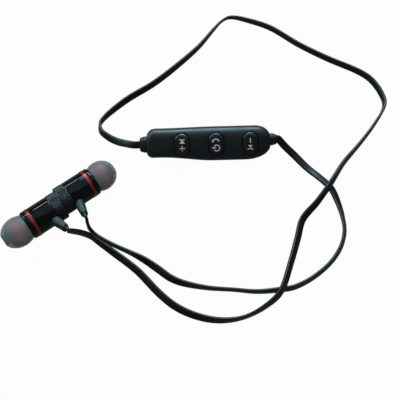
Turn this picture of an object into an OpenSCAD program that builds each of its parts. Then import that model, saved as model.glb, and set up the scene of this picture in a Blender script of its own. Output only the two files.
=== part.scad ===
// Magnetic in-ear earphones on a flat cord with a control box in it.
// Millimetres. +X runs along the control box, +Y points away from the viewer, +Z up from the table.

/* [Control box] */
// Length of the box without its cord glands
box_length = 51.3; // [50:0.1:56]
// Greatest width of the box, across the buttons
box_width = 14.05; // [13.5:0.05:14.8]
// Width of the box near its left end
box_narrow_width = 12; // [11.8:0.1:12.8]
// Greatest distance from the line of the buttons to the far edge of the box
box_far_width = 6.85; // [6.75:0.05:7.05]
// How much of that distance the far edge gains where the box widens
box_far_swell = 0.35; // [0.25:0.05:0.5]
// Height of the box from its underside to its face
box_height = 8.6; // [8.4:0.1:9.6]
// Wall of both shells
box_wall = 1.2; // [1.1:0.05:1.3]
// Roll of the box towards the viewer, as it lies on the table
box_roll = 39; // [30:1:45]
// Length of the cord gland outside the box
gland_length = 2.9; // [2:0.1:5]

/* [Buttons] */
// Width of a button along the box
button_width = 6.1; // [5.6:0.1:6.4]
// Length of a button across the box
button_length = 9.3; // [9:0.1:9.5]
// Distance between neighbouring buttons
button_pitch = 14.1; // [13.6:0.1:14.6]
// Height of a button above the face of the box
button_proud = 0.45; // [0.4:0.05:0.7]
// Stroke of a button
button_travel = 0.35; // [0.2:0.05:0.35]

/* [Buds] */
// Diameter of the barrel
barrel_d = 11.8; // [11.6:0.1:12.6]
// Length of the knurled rear collar
collar_length = 4; // [3.6:0.1:4.4]
// Length of the barrel
barrel_length = 8.4; // [8.2:0.05:10]
// Width of the red ring
ring_width = 1.3; // [1:0.1:1.8]
// Length of the front cap without its nozzle
cap_length = 2; // [1.9:0.1:3]
// Length of the ear tip
tip_length = 9.5; // [9:0.05:10.5]
// Greatest diameter of the ear tip
tip_d = 12.2; // [11.8:0.1:13]
// Extra length of the left ear tip, whose soft skirt stands out further
left_tip_stretch = 0.8; // [0:0.1:1]
// Gap between the front cap and the ear tip
tip_seat = 0.15; // [0.1:0.05:0.4]
// Heading of the joined buds on the table, in degrees from +X
bud_heading = 36; // [30:1:42]
// Sideways offset between the two bud axes where the magnets hold
bud_offset = 1.1; // [0:0.1:2]
// Length of the cord boot outside the barrel
boot_length = 5.8; // [5:0.1:7]
// Rise of the boot on the left bud, in degrees
left_boot_rise = 12; // [5:1:20]
// Rise of the boot on the right bud, in degrees
right_boot_rise = 8; // [0:1:15]

/* [Cord] */
// Width of the flat cord
cord_width = 3.1; // [2.6:0.1:3.2]
// Thickness of the flat cord
cord_thickness = 1.2; // [1:0.1:1.3]

/* [Hidden] */
$fn = 48;

// Where the box and the joint of the buds lie on the table
box_at = [26.6, 19];
joint_at = [-33.35, -7.15];

// Rounded ends of the box: run along the box and inset, for the far side, the near side and the height
left_far = [3.6, 3.3];
left_near = [2.5, 2.1];
left_tall = [2.6, 1.2];
right_far = [6, 4.6];
right_near = [10.6, 5.6];
right_tall = [6, 1.7];
// Stretch of the box over which it widens, measured from its left end
widen_from = 6;
widen_to = 28;
// Exponent of the rounded cross-section and number of its sides
squareness = 3.2;
section_sides = 36;
// The underside is planed flat by this much
underside_cut = 0.2;
underside_z = underside_cut - box_height / 2;

// Heights inside the box, measured from its middle
board_bottom = -0.6;
board_top = 0.2;
parting_z = board_bottom;
floor_thickness = 1.6;
floor_z = floor_thickness - box_height / 2;
roof_z = box_height / 2 - box_wall;
plunger_top = 1.7;
switch_top = plunger_top - button_travel - 0.05;
flange_top = roof_z - 0.2;
flange_bottom = flange_top - 0.6;

// Places along the box, measured from its middle
left_end_x = -box_length / 2;
right_end_x = box_length / 2;
// The middle button sits this far to the right of the box's middle
button_row_x = 3.1;
button_x = [for (i = [-1:1]) button_row_x + i * button_pitch];
chip_x = button_x[0] + button_pitch / 2;
crystal_x = button_x[1] + button_pitch / 2;
// Room between the board's ends and the ends of the box, and between its edge and the narrowest wall
left_board_room = 2.75;
right_board_room = 5.75;
board_edge_room = 0.4;
narrow_near_width = box_narrow_width - box_far_width + box_far_swell;
board_from = left_end_x + left_board_room;
board_to = right_end_x - right_board_room;
board_half_width = narrow_near_width - box_wall - board_edge_room;
// Posts under the board: three corners, because the charging socket carries the fourth
post_d = 1.6;
post_root = 0.3;
post_inset = [1.2, 0.8];
post_y = board_half_width - post_inset[1];
post_at = [
    [board_from + post_inset[0], post_y],
    [board_to - post_inset[0], post_y],
    [board_to - post_inset[0], -post_y]
];
microphone_size = [3, 2.2, 1];
microphone_hole_d = 1;
microphone_x = board_to - microphone_size[0];
button_gap = 0.3;

// Parts on the board: sides of a switch, the chip and the crystal, and the stem under a button
switch_side = 3.5;
chip_side = 5;
crystal_size = [3.2, 2.5];
stem_d = 2.6;
plunger_d = 1.6;

// Gland and the slot that it fills
left_gland_width = 6.8;
right_gland_width = 5.1;
gland_height = 4.4;
// Outside the box the gland is full size over its flange, then steps down
gland_flange = 1.4;
gland_step = 0.5;
neck_height = 2.8;
neck_inset = 1.5;
// The right gland sits off the line of the buttons, towards the far side
right_gland_y = 0.9;

// Charging socket, under the board with its mouth in the near side of the box
socket_size = [7.4, 5.2, 2.5];
socket_depth = 1;
socket_room = 0.25;
socket_wall = 0.35;
socket_back = 0.6;
tongue_size = [3.7, 3.6, 0.6];
socket_mouth_y = socket_depth - narrow_near_width;
socket_x = board_from + socket_size[0] / 2;
socket_z = board_bottom - socket_size[2] / 2;

// Battery on the floor, between the socket and the microphone
battery_room = 0.6;
battery_edge = [1, 0.3];
battery_top_room = 0.3;
battery_from = [board_from + socket_size[0] + battery_room, battery_edge[0] - board_half_width];
battery_to = [microphone_x - microphone_size[0] / 2 - battery_room, board_half_width - battery_edge[1]];

// Lengths along a bud, measured from its rear face
barrel_r = barrel_d / 2;
shoulder_z = collar_length + 0.25;
ring_z = shoulder_z + barrel_length;
cap_z = ring_z + ring_width;
nozzle_z = cap_z + cap_length;
boot_z = collar_length + 2.9;
boot_tilt = 12;
boot_root_r = 2.25;
boot_end_size = [cord_thickness + 1.6, cord_width + 0.9];
nozzle_length = 5;
tip_r = tip_d / 2;
collar_r = barrel_r + 0.05;
ring_r = barrel_r + 0.1;
bore_r = barrel_r - 0.75;
spigot_r = bore_r - 0.05;
driver_length = 4.8;
driver_z = ring_z - driver_length;
bud_gap = 0.2;

// Radii inside a bud, each a wall or a gap inside the one before it
lip_r = spigot_r - 0.8;
coupling_magnet_r = lip_r - 0.3;
magnet_room = 0.05;
frame_wall = 0.4;
frame_inner_r = bore_r - frame_wall;
diaphragm_r = frame_inner_r - 0.4;
yoke_r = frame_inner_r - 0.75;
yoke_inner_r = yoke_r - 0.35;
coil_room = 0.32;
coil_r = yoke_inner_r - coil_room;
coil_inner_r = coil_r - 0.21;
pole_r = coil_inner_r - coil_room;
bud_height = max(tip_r, ring_r);

// Directions on the table: along the joined buds, and across them towards the cords
along = [cos(bud_heading), sin(bud_heading), 0];
across = [sin(bud_heading), -cos(bud_heading), 0];

// Middle of the box above the table, so that its rolled section just touches it
box_near_width = box_width - box_far_width;
box_z = max([
    for (p = section(box_far_width, box_near_width, box_height / 2))
        -p[0] * sin(box_roll) - p[1] * cos(box_roll)
]);

// Routes of the cords: x, y, lean of the flat cord in degrees, height of its lower edge
long_route = [
    [-7.5, 20.4, -33, 3.8],
    [-11.5, 22.6, -38, 2],
    [-15.5, 25.5, -48, 0.8],
    [-19.2, 29.8, -68, 0],
    [-18.4, 35.3, -94, 0],
    [-8.5, 45, -118, 0],
    [3.5, 53.5, -114, 0],
    [14, 63, -106, 0],
    [24, 73.5, -93, 0],
    [31, 83, -78, 0],
    [35.5, 88.5, -62, 0],
    [40, 90.5, -68, 0],
    [47.5, 88.5, -86, 0],
    [58, 83.5, -95, 0],
    [70, 73.5, -98, 0],
    [82.5, 65, -102, 0],
    [94.5, 58, -107, 0],
    [100.5, 52.5, -112, 0],
    [104, 44.5, -107, 0],
    [104, 38, -97, 0],
    [98, 28.5, -90, 0],
    [90.5, 19, -86, 0.5],
    [82.5, 9.5, -74, 1.8],
    [76.5, 0.5, -62, 2.6],
    [70, -8, -54, 1.8],
    [63.5, -15, -40, 0.5],
    [60.5, -23.5, -40, 0.8],
    [57, -33.5, -48, 2.4],
    [52, -46, -55, 3.9],
    [46, -51.5, -76, 2.4],
    [38, -55, -90, 0.5],
    [29.5, -56, -72, 0],
    [21, -54.5, -52, 0],
    [12.5, -50.5, -38, 0],
    [5.5, -44.5, -36, 0],
    [-3, -35, -38, 0],
    [-12.7, -26.9, -46, 0],
    [-17.7, -23, -60, 0.1],
    [-21.2, -20.6, -72, 1.2],
    [-24.8, -20.2, -82, 4.2]
];
short_route = [
    [58.4, 17.6, 26, 3.7],
    [62.5, 14.2, 14, 1.7],
    [67.5, 9, -2, 0.4],
    [72.5, 4, -12, 0],
    [76.5, -1, -15, 0],
    [78.5, -8, -35, 0],
    [79.5, -14.5, -55, 0],
    [79.5, -21, -68, 0],
    [77, -28, -73, 0],
    [72, -34.5, -79, 0],
    [65, -40, -80, 0],
    [58, -43.5, -78, 0],
    [52, -44.5, -78, 0],
    [43, -45, -90, 0],
    [34, -44, -95, 0],
    [24.5, -43, -88, 0],
    [15.5, -41, -65, 0],
    [10, -38.5, -45, 0],
    [5, -34.5, -36, 0],
    [-0.5, -30.5, -58, 0],
    [-6, -27.3, -84, 0],
    [-12, -24.2, -90, 0],
    [-17.2, -21.1, -90, 0],
    [-20.7, -18.4, -90, 0.4],
    [-22, -17, -90, 3.5]
];
long_rings = 54;
short_rings = 28;
// The cord's ends stop this short of the gland and the boot
cord_gap = 0.03;

// Rounded cross-section with the given widths to the far and near side and half height
function section(far, near, hh) = [
    for (i = [0:section_sides - 1])
        let (a = 360 * i / section_sides)
        [
            (cos(a) > 0 ? far : -near) * pow(abs(cos(a)), 2 / squareness),
            hh * sign(sin(a)) * pow(abs(sin(a)), 2 / squareness)
        ]
];

// Inset of a rounded end at distance d from it, for a run and a depth
function inset(d, round) = d >= round[0] ? 0 : round[1] * (1 - sqrt(1 - pow(1 - d / round[0], 2)));

// Smooth step from 0 to 1 over the widening stretch
function widening(d) =
    let (t = min(1, max(0, (d - widen_from) / (widen_to - widen_from))))
    t * t * (3 - 2 * t);

// Width to the far side, width to the near side and half height of the box at distance d from its left end
function far_side(d) =
    box_far_width - box_far_swell * (1 - widening(d))
    - inset(d, left_far)
    - inset(box_length - d, right_far);
function near_side(d) =
    narrow_near_width + (box_near_width - narrow_near_width) * widening(d)
    - inset(d, left_near)
    - inset(box_length - d, right_near);
function half_height(d) = box_height / 2 - inset(d, left_tall) - inset(box_length - d, right_tall);

// Distances from the left end where the box gets a section, closer together at the rounded ends
stations = concat(
    [for (i = [0:4]) left_far[0] * (1 - cos(22.5 * i))],
    [for (i = [0:4]) widen_from + i * (widen_to - widen_from) / 4],
    [for (i = [6:-1:0]) box_length - right_near[0] * (1 - cos(15 * i))]
);

// Rings of the box surface, moved inwards by depth and cut short by trim at both ends
function box_rings(depth, trim) = [
    for (s = stations)
        let (d = trim + s * (box_length - 2 * trim) / box_length)
        [
            for (p = section(far_side(d) - depth, near_side(d) - depth, half_height(d) - depth))
                [d - box_length / 2, p[0], p[1]]
        ]
];

// Point on a smooth curve through the rows of a route; u counts rows
function route_row(route, i) = route[min(len(route) - 1, max(0, i))];
function curve(route, u) =
    let (
        i = min(len(route) - 2, floor(u)),
        t = u - i,
        a = route_row(route, i - 1),
        b = route_row(route, i),
        c = route_row(route, i + 1),
        d = route_row(route, i + 2)
    )
    0.5 * (2 * b + (c - a) * t + (2 * a - 5 * b + 4 * c - d) * t * t + (3 * b - a - 3 * c + d) * t * t * t);

// Height of the cord's middle above its lower edge at a lean
function rise(lean) = cord_width / 2 * abs(sin(lean)) + cord_thickness / 2 * abs(cos(lean));
function lay(route) = [for (r = route) [r[0], r[1], r[3] + rise(r[2]), r[2]]];

// Rounded flat outline of the cord: across its width, across its thickness
function cord_outline() =
    let (w = cord_width / 2, t = cord_thickness / 2)
    [
        [w, -t / 2], [w, t / 2], [w - t / 2, t], [t / 2 - w, t],
        [-w, t / 2], [-w, -t / 2], [t / 2 - w, -t], [w - t / 2, -t]
    ];

function unit(v) = v / norm(v);
function place(r) = [r[0], r[1], r[2]];
function cord_ring(route, u, heading) =
    let (
        r = curve(route, u),
        side = unit(cross([0, 0, 1], heading)),
        top = cross(heading, side),
        wide = cos(r[3]) * side + sin(r[3]) * top,
        thin = cos(r[3]) * top - sin(r[3]) * side
    )
    [for (p = cord_outline()) place(r) + p[0] * wide + p[1] * thin];
function cord_heading(route, u) =
    let (last = len(route) - 1)
    unit(place(curve(route, min(last, u + 0.02))) - place(curve(route, max(0, u - 0.02))));
function cord_rings(route, count) = [
    for (i = [0:count - 1])
        let (u = i * (len(route) - 1) / (count - 1))
        cord_ring(route, u, cord_heading(route, u))
];

// Closed surface through rings that all have the same number of points
module loft(rings) {
    n = len(rings[0]);
    last = len(rings) - 1;
    sides = [
        for (r = [0:last - 1], i = [0:n - 1], half = [0:1])
            let (a = r * n + i, b = r * n + (i + 1) % n)
            half == 0 ? [a, a + n, b + n] : [a, b + n, b]
    ];
    first_cap = [for (i = [0:n - 1]) i];
    last_cap = [for (i = [n - 1:-1:0]) last * n + i];
    polyhedron([for (r = rings, p = r) p], concat(sides, [first_cap, last_cap]));
}

// Flat capsule outline, its long way along Y
module capsule(width, length) {
    straight = length - width;
    square([width, straight], center = true);
    for (s = [-1, 1])
        translate([0, s * straight / 2])
            circle(d = width);
}

module block(from, to) {
    translate(from)
        cube(to - from);
}

// Puts a child from the box's own axes onto the table
module in_box() {
    translate([box_at[0], box_at[1], box_z])
        rotate([box_roll, 0, 0])
            children();
}

// Puts a child from a bud's own axes onto the table: +Z is the bud's axis, the boot points along +Y
module in_left_bud() {
    translate([joint_at[0], joint_at[1], bud_height] + across * bud_offset / 2 - along * bud_gap / 2)
        rotate([0, 90, bud_heading + 180])
            rotate([0, 0, left_boot_rise])
                children();
}

module in_right_bud() {
    translate([joint_at[0], joint_at[1], bud_height] - across * bud_offset / 2 + along * bud_gap / 2)
        rotate([0, 90, bud_heading])
            rotate([0, 0, 180 - right_boot_rise])
                children();
}

// Control box

module box_solid() {
    difference() {
        loft(box_rings(0, 0));
        block([-box_length, -box_width, -box_height], [box_length, box_width, underside_z]);
    }
}

module box_hollow() {
    difference() {
        loft(box_rings(box_wall, box_wall));
        block([-box_length, -box_width, -box_height], [box_length, box_width, floor_z]);
    }
}

module gland_slots() {
    ends = [[left_end_x, 0, left_gland_width], [right_end_x, right_gland_y, right_gland_width]];
    for (end = ends)
        translate([end[0], end[1], 0])
            rotate([0, 90, 0])
                linear_extrude(4 * box_wall, center = true)
                    capsule(neck_height + 0.2, end[2] - neck_inset + 0.2);
}

module button_holes() {
    for (x = button_x)
        translate([x, 0, 1.5])
            linear_extrude(box_height)
                capsule(button_width + 2 * button_gap, button_length + 2 * button_gap);
}

// Pocket for the charging socket, open to the near side
module socket_pocket() {
    half = socket_size[0] / 2 + socket_room;
    back_y = socket_mouth_y + socket_size[1] + socket_room;
    block(
        [socket_x - half, -box_width, board_bottom - socket_size[2]],
        [socket_x + half, back_y, box_height]
    );
}

module upper_shell() {
    color("#1c1f22")
        difference() {
            intersection() {
                box_solid();
                block([-box_length, -box_width, parting_z], [box_length, box_width, box_height]);
            }
            box_hollow();
            button_holes();
            gland_slots();
        }
}

module lower_shell() {
    color("#191b1e") {
        difference() {
            intersection() {
                box_solid();
                block([-box_length, -box_width, -box_height], [box_length, box_width, parting_z]);
            }
            box_hollow();
            gland_slots();
            socket_pocket();
            translate([microphone_x, 0, -box_height])
                cylinder(d = microphone_hole_d, h = box_height);
        }
        for (p = post_at)
            translate([p[0], p[1], floor_z - post_root])
                cylinder(d = post_d, h = board_bottom - floor_z + post_root);
    }
}

module button(i) {
    color("#212528")
        translate([button_x[i], 0, 0]) {
            intersection() {
                translate([0, 0, flange_top])
                    linear_extrude(box_height)
                        capsule(button_width, button_length);
                translate([-button_x[i], 0, 0])
                    loft(box_rings(-button_proud, 0));
            }
            block([-button_width / 2 - 0.8, -2.6, flange_bottom], [button_width / 2 + 0.8, 2.6, flange_top]);
            translate([0, 0, plunger_top])
                cylinder(d = stem_d, h = flange_bottom - plunger_top);
        }
}

module plunger(i) {
    color("#d8d2c4")
        translate([button_x[i], 0, 0.7])
            cylinder(d = plunger_d, h = plunger_top - 0.7);
}

module switches() {
    color("#9a9da1")
        for (x = button_x)
            translate([x, 0, board_top])
                difference() {
                    translate([-switch_side / 2, -switch_side / 2, 0])
                        cube([switch_side, switch_side, switch_top - board_top]);
                    translate([0, 0, 0.1])
                        cylinder(d = plunger_d + 0.1, h = box_height);
                }
}

module circuit_board() {
    color("#1f5a37")
        block([board_from, -board_half_width, board_bottom], [board_to, board_half_width, board_top]);
}

module radio_chip() {
    color("#26282b")
        translate([chip_x - chip_side / 2, -chip_side / 2, board_top])
            cube([chip_side, chip_side, 0.9]);
}

module crystal() {
    color("#c3c6c9")
        translate([crystal_x - crystal_size[0] / 2, -crystal_size[1] / 2, board_top])
            cube([crystal_size[0], crystal_size[1], 0.7]);
}

module battery() {
    color("#a9b3bd")
        block(concat(battery_from, floor_z), concat(battery_to, board_bottom - battery_top_room));
}

module charging_socket() {
    half = [socket_size[0] / 2, socket_size[2] / 2];
    room = [half[0] - socket_wall, half[1] - socket_wall];
    color("#c8cbce")
        translate([socket_x, socket_mouth_y, socket_z])
            difference() {
                block([-half[0], 0, -half[1]], [half[0], socket_size[1], half[1]]);
                block([-room[0], -socket_wall, -room[1]], [room[0], socket_size[1] - socket_back, room[1]]);
            }
}

module socket_tongue() {
    color("#2a2a2c")
        translate([
            socket_x - tongue_size[0] / 2,
            socket_mouth_y + socket_size[1] - socket_back - tongue_size[1],
            socket_z - tongue_size[2] / 2
        ])
            cube(tongue_size);
}

module microphone() {
    color("#d4b86a")
        translate([microphone_x, 0, board_bottom - microphone_size[2] / 2])
            cube(microphone_size, center = true);
}

// Gland of a width with its outer face at +X of its end of the box
module gland(width) {
    color("#22262a")
        rotate([0, 90, 0]) {
            linear_extrude(gland_flange)
                capsule(gland_height, width);
            linear_extrude(gland_length)
                capsule(gland_height - gland_step, width - gland_step);
            translate([0, 0, -box_wall - 0.05])
                linear_extrude(box_wall + 0.05)
                    capsule(neck_height, width - neck_inset);
            translate([0, 0, -box_wall - 0.85])
                linear_extrude(0.8)
                    capsule(neck_height + 0.8, width - neck_inset + 0.8);
        }
}

module left_gland() {
    translate([left_end_x, 0, 0])
        mirror([1, 0, 0])
            gland(left_gland_width);
}

module right_gland() {
    translate([right_end_x, right_gland_y, 0])
        gland(right_gland_width);
}

// Bud

// Ear tip on its nozzle, its rear edge a gap in front of the cap
module ear_tip(length) {
    wide_z = 0.36 * length;
    wall = 0.5;
    stem_r = 3.7;
    hole_r = 2.2;
    bore_to = nozzle_length + 0.15;
    dome = [for (a = [0:11.25:70]) [tip_r * cos(a), wide_z + (length - wide_z) * sin(a) / sin(67.5)]];
    lining_rise = length - wide_z - 1.4;
    lining = [for (a = [62:-12.4:0]) [(tip_r - wall) * cos(a), wide_z + lining_rise * sin(a) / sin(62)]];
    color("#8d9194")
        translate([0, 0, nozzle_z + tip_seat])
            rotate_extrude()
                polygon(concat(
                    [[tip_r - 0.8, 0], [tip_r - 0.3, 1.4]],
                    dome,
                    [[hole_r, length], [hole_r, bore_to + 0.6], [3, bore_to], [3, 0]],
                    [[stem_r, 0], [stem_r, wide_z], [stem_r, length - 2.8]],
                    [for (p = lining) if (p[0] > stem_r) p],
                    [[tip_r - 0.3 - wall, 1.4], [tip_r - 0.8 - wall, 0]]
                ));
}

module front_cap() {
    color("#141517")
        rotate_extrude()
            polygon([
                [lip_r, ring_z - 0.8], [spigot_r, ring_z - 0.8], [spigot_r, cap_z], [barrel_r, cap_z],
                [barrel_r, nozzle_z - 1.1], [barrel_r - 0.3, nozzle_z - 0.4], [barrel_r - 0.8, nozzle_z],
                [2.6, nozzle_z], [2.6, nozzle_z + 3.4], [2.95, nozzle_z + 3.7], [2.95, nozzle_z + 4.1],
                [2.6, nozzle_z + 4.6], [2.4, nozzle_z + nozzle_length], [1.9, nozzle_z + nozzle_length],
                [1.9, nozzle_z - 1.1],
                [lip_r, nozzle_z - 1.6]
            ]);
}

module nozzle_mesh() {
    color("#74787c")
        translate([0, 0, nozzle_z + 4.4])
            cylinder(r = 1.85, h = 0.3);
}

module ring() {
    color("#b3161c")
        rotate_extrude()
            polygon([
                [bore_r, ring_z], [ring_r - 0.1, ring_z], [ring_r, ring_z + 0.1],
                [ring_r, cap_z - 0.1], [ring_r - 0.1, cap_z], [bore_r, cap_z]
            ]);
}

module barrel() {
    color("#101113")
        difference() {
            rotate_extrude()
                polygon([
                    [bore_r, shoulder_z], [barrel_r - 0.3, shoulder_z], [barrel_r, shoulder_z + 0.3],
                    [barrel_r, ring_z], [bore_r, ring_z]
                ]);
            translate([0, 0, boot_z])
                rotate([-90 - boot_tilt, 0, 0])
                    cylinder(r = 1.3, h = barrel_d);
        }
}

module rear_collar() {
    color("#2b2e31")
        rotate_extrude()
            polygon([
                [0, 0], [collar_r - 0.3, 0], [collar_r, 0.3], [collar_r, collar_length - 0.2],
                [collar_r - 0.2, collar_length], [barrel_r - 0.45, collar_length],
                [barrel_r - 0.45, shoulder_z],
                [spigot_r, shoulder_z], [spigot_r, shoulder_z + 0.2], [lip_r, shoulder_z + 0.2], [lip_r, 2.7],
                [coupling_magnet_r + magnet_room, 2.7], [coupling_magnet_r + magnet_room, 0.6], [0, 0.6]
            ]);
}

module coupling_magnet() {
    color("#b7babd")
        translate([0, 0, 0.6])
            cylinder(r = coupling_magnet_r, h = 2);
}

module driver_frame() {
    color("#3a3d40")
        translate([0, 0, driver_z])
            rotate_extrude()
                polygon([
                    [yoke_r + 0.02, 0.4], [spigot_r, 0.4], [spigot_r, 3.9], [frame_inner_r, 3.9],
                    [frame_inner_r, 0.9], [yoke_r + 0.02, 0.9]
                ]);
}

module driver_yoke() {
    color("#8a8d90")
        translate([0, 0, driver_z])
            rotate_extrude()
                polygon([
                    [0, 0], [yoke_r, 0], [yoke_r, 2.6], [yoke_inner_r, 2.6], [yoke_inner_r, 0.6], [0, 0.6]
                ]);
}

module driver_magnet() {
    color("#55585b")
        translate([0, 0, driver_z + 0.6])
            cylinder(r = pole_r - magnet_room, h = 1.5);
}

module pole_plate() {
    color("#9a9da0")
        translate([0, 0, driver_z + 2.1])
            cylinder(r = pole_r, h = 0.5);
}

module voice_coil() {
    color("#b87333")
        translate([0, 0, driver_z + 1.2])
            difference() {
                cylinder(r = coil_r, h = 1.9);
                translate([0, 0, -1])
                    cylinder(r = coil_inner_r, h = 4);
            }
}

module diaphragm() {
    half_r = coil_inner_r / 2;
    color("#d9d5c8")
        translate([0, 0, driver_z + 3.1])
            rotate_extrude()
                polygon([
                    [0, 0.4], [half_r, 0.35], [coil_inner_r, 0], [coil_r, 0], [diaphragm_r, 0.2],
                    [diaphragm_r, 0.35], [coil_r, 0.16], [coil_inner_r, 0.16], [half_r, 0.5], [0, 0.56]
                ]);
}

module boot() {
    color("#3b4145") {
        translate([0, 0, boot_z])
            rotate([-90 - boot_tilt, 0, 0])
                translate([0, 0, bore_r - 0.4])
                    cylinder(r = 1.25, h = 1.6);
        difference() {
            translate([0, 0, boot_z])
                rotate([-90 - boot_tilt, 0, 0])
                    hull() {
                        translate([0, 0, bore_r])
                            cylinder(r = boot_root_r, h = 0.1, $fn = 32);
                        translate([0, 0, barrel_r + boot_length - 0.1])
                            linear_extrude(0.1)
                                rotate(90)
                                    capsule(boot_end_size[0], boot_end_size[1], $fn = 24);
                    }
            cylinder(r = collar_r + 0.02, h = nozzle_z);
        }
    }
}

// Cords

// End of a boot and the way that it points, worked out in the table's axes
function boot_way(rise, side) =
    let (tilted = cos(boot_tilt) * (cos(rise) * across + [0, 0, sin(rise)]))
    tilted + side * sin(boot_tilt) * along;
function boot_end(rise, side) =
    [joint_at[0], joint_at[1], bud_height]
    + side * (across * bud_offset / 2 - along * bud_gap / 2)
    - side * boot_z * along
    + (barrel_r + boot_length) * boot_way(rise, side);
function gland_end(s, y) = [
    box_at[0] + s * (box_length / 2 + gland_length),
    box_at[1] + y * cos(box_roll),
    box_z + y * sin(box_roll)
];

// Row of a route at a point of the air, with the cord's lean there
function row(p, lean) = [p[0], p[1], p[2], lean];

// Rows of a cord out of a gland, and rows of a cord into a boot
function out_rows(gland, s, straight, lean) = [
    row(gland + [s * cord_gap, 0, 0], lean),
    row(gland + [s * straight, 0, 0], lean)
];
function in_rows(end, way) = [for (d = [2, 1, cord_gap]) row(end + d * way, -90)];

module long_cord() {
    end = boot_end(left_boot_rise, 1);
    way = boot_way(left_boot_rise, 1);
    gland = gland_end(-1, 0);
    route = concat(out_rows(gland, -1, 2.5, -box_roll), lay(long_route), in_rows(end, way));
    color("#17191b")
        loft(cord_rings(route, long_rings));
}

module short_cord() {
    end = boot_end(right_boot_rise, -1);
    way = boot_way(right_boot_rise, -1);
    gland = gland_end(1, right_gland_y);
    route = concat(out_rows(gland, 1, 0.7, box_roll), lay(short_route), in_rows(end, way));
    color("#17191b")
        loft(cord_rings(route, short_rings));
}

in_box() upper_shell();
in_box() lower_shell();
in_box() button(0);  // next_button
in_box() button(1);  // power_button
in_box() button(2);  // previous_button
in_box() plunger(0);  // next_plunger
in_box() plunger(1);  // power_plunger
in_box() plunger(2);  // previous_plunger
in_box() switches();
in_box() circuit_board();
in_box() radio_chip();
in_box() crystal();
in_box() battery();
in_box() charging_socket();
in_box() socket_tongue();
in_box() microphone();
in_box() left_gland();
in_box() right_gland();
in_left_bud() ear_tip(tip_length + left_tip_stretch);  // left_ear_tip
in_left_bud() front_cap();  // left_front_cap
in_left_bud() nozzle_mesh();  // left_nozzle_mesh
in_left_bud() ring();  // left_ring
in_left_bud() barrel();  // left_barrel
in_left_bud() rear_collar();  // left_rear_collar
in_left_bud() coupling_magnet();  // left_coupling_magnet
in_left_bud() driver_frame();  // left_driver_frame
in_left_bud() driver_yoke();  // left_driver_yoke
in_left_bud() driver_magnet();  // left_driver_magnet
in_left_bud() pole_plate();  // left_pole_plate
in_left_bud() diaphragm();  // left_diaphragm
in_left_bud() voice_coil();  // left_voice_coil
in_left_bud() boot();  // left_boot
in_right_bud() ear_tip(tip_length);  // right_ear_tip
in_right_bud() front_cap();  // right_front_cap
in_right_bud() nozzle_mesh();  // right_nozzle_mesh
in_right_bud() ring();  // right_ring
in_right_bud() barrel();  // right_barrel
in_right_bud() rear_collar();  // right_rear_collar
in_right_bud() coupling_magnet();  // right_coupling_magnet
in_right_bud() driver_frame();  // right_driver_frame
in_right_bud() driver_yoke();  // right_driver_yoke
in_right_bud() driver_magnet();  // right_driver_magnet
in_right_bud() pole_plate();  // right_pole_plate
in_right_bud() diaphragm();  // right_diaphragm
in_right_bud() voice_coil();  // right_voice_coil
in_right_bud() boot();  // right_boot
long_cord();
short_cord();
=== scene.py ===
# %% [markdown]
# # Magnetic in-ear earphones on a flat cord
# Two metal in-ear buds hold each other back to back by magnets. A flat cord runs from each bud to a small
# control box with three buttons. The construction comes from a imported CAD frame, in metres. This lesson adds
# the looks: smooth mouldings, soft silicone, the flat cord and a finish for every surface.

# %% Load the frame
import math

import bmesh
import bpy
from mathutils import Matrix, Vector


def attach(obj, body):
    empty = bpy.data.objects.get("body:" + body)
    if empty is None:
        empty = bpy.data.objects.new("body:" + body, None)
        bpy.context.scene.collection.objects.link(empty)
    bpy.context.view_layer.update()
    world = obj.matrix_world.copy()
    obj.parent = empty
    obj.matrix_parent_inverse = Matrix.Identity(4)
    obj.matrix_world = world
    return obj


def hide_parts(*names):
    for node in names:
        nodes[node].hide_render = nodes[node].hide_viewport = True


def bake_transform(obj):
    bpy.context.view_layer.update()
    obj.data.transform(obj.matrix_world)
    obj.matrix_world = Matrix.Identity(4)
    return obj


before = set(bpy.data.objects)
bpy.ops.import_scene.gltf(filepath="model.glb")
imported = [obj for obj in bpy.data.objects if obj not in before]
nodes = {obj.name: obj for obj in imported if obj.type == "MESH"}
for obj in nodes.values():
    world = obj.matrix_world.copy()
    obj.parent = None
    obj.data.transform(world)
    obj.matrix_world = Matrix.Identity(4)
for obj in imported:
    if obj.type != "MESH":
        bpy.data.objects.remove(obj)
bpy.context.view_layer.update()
MM = 0.001
print("CAD nodes:", len(nodes))

# %% [markdown]
# ## Camera
# The picture was taken from well above the table, close to the object, so near things look larger.
# The camera stands at the same height angle and distance. One scale, the size of a pixel at the aim
# point, gives the lens.

# %% Camera
IMAGE_SIDE = 400
VIEW_ELEVATION = math.radians(63)
VIEW_TURN = math.radians(-1.7)
VIEW_DISTANCE = 290 * MM
VIEW_TARGET = Vector((22.4, -4.3, 0)) * MM
PIXEL_SIZE = 0.41 * MM
# Blender counts the sensor in millimetres and the clipping distance in metres
SENSOR_WIDTH, CLIP_START = 36, 0.01


def add_camera():
    data = bpy.data.cameras.new("camera")
    data.sensor_width = SENSOR_WIDTH
    data.lens = SENSOR_WIDTH * VIEW_DISTANCE / (IMAGE_SIDE * PIXEL_SIZE)
    data.clip_start = CLIP_START
    back = Vector((
        math.sin(VIEW_TURN) * math.cos(VIEW_ELEVATION),
        -math.cos(VIEW_TURN) * math.cos(VIEW_ELEVATION),
        math.sin(VIEW_ELEVATION),
    ))
    camera = bpy.data.objects.new("camera", data)
    camera.location = VIEW_TARGET + back * VIEW_DISTANCE
    camera.rotation_euler = (-back).to_track_quat("-Z", "Y").to_euler()
    bpy.context.scene.collection.objects.link(camera)
    bpy.context.scene.camera = camera
    return camera


camera = add_camera()
bpy.context.scene.view_settings.view_transform = "Standard"
print("lens:", round(camera.data.lens, 1), "mm")

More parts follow.
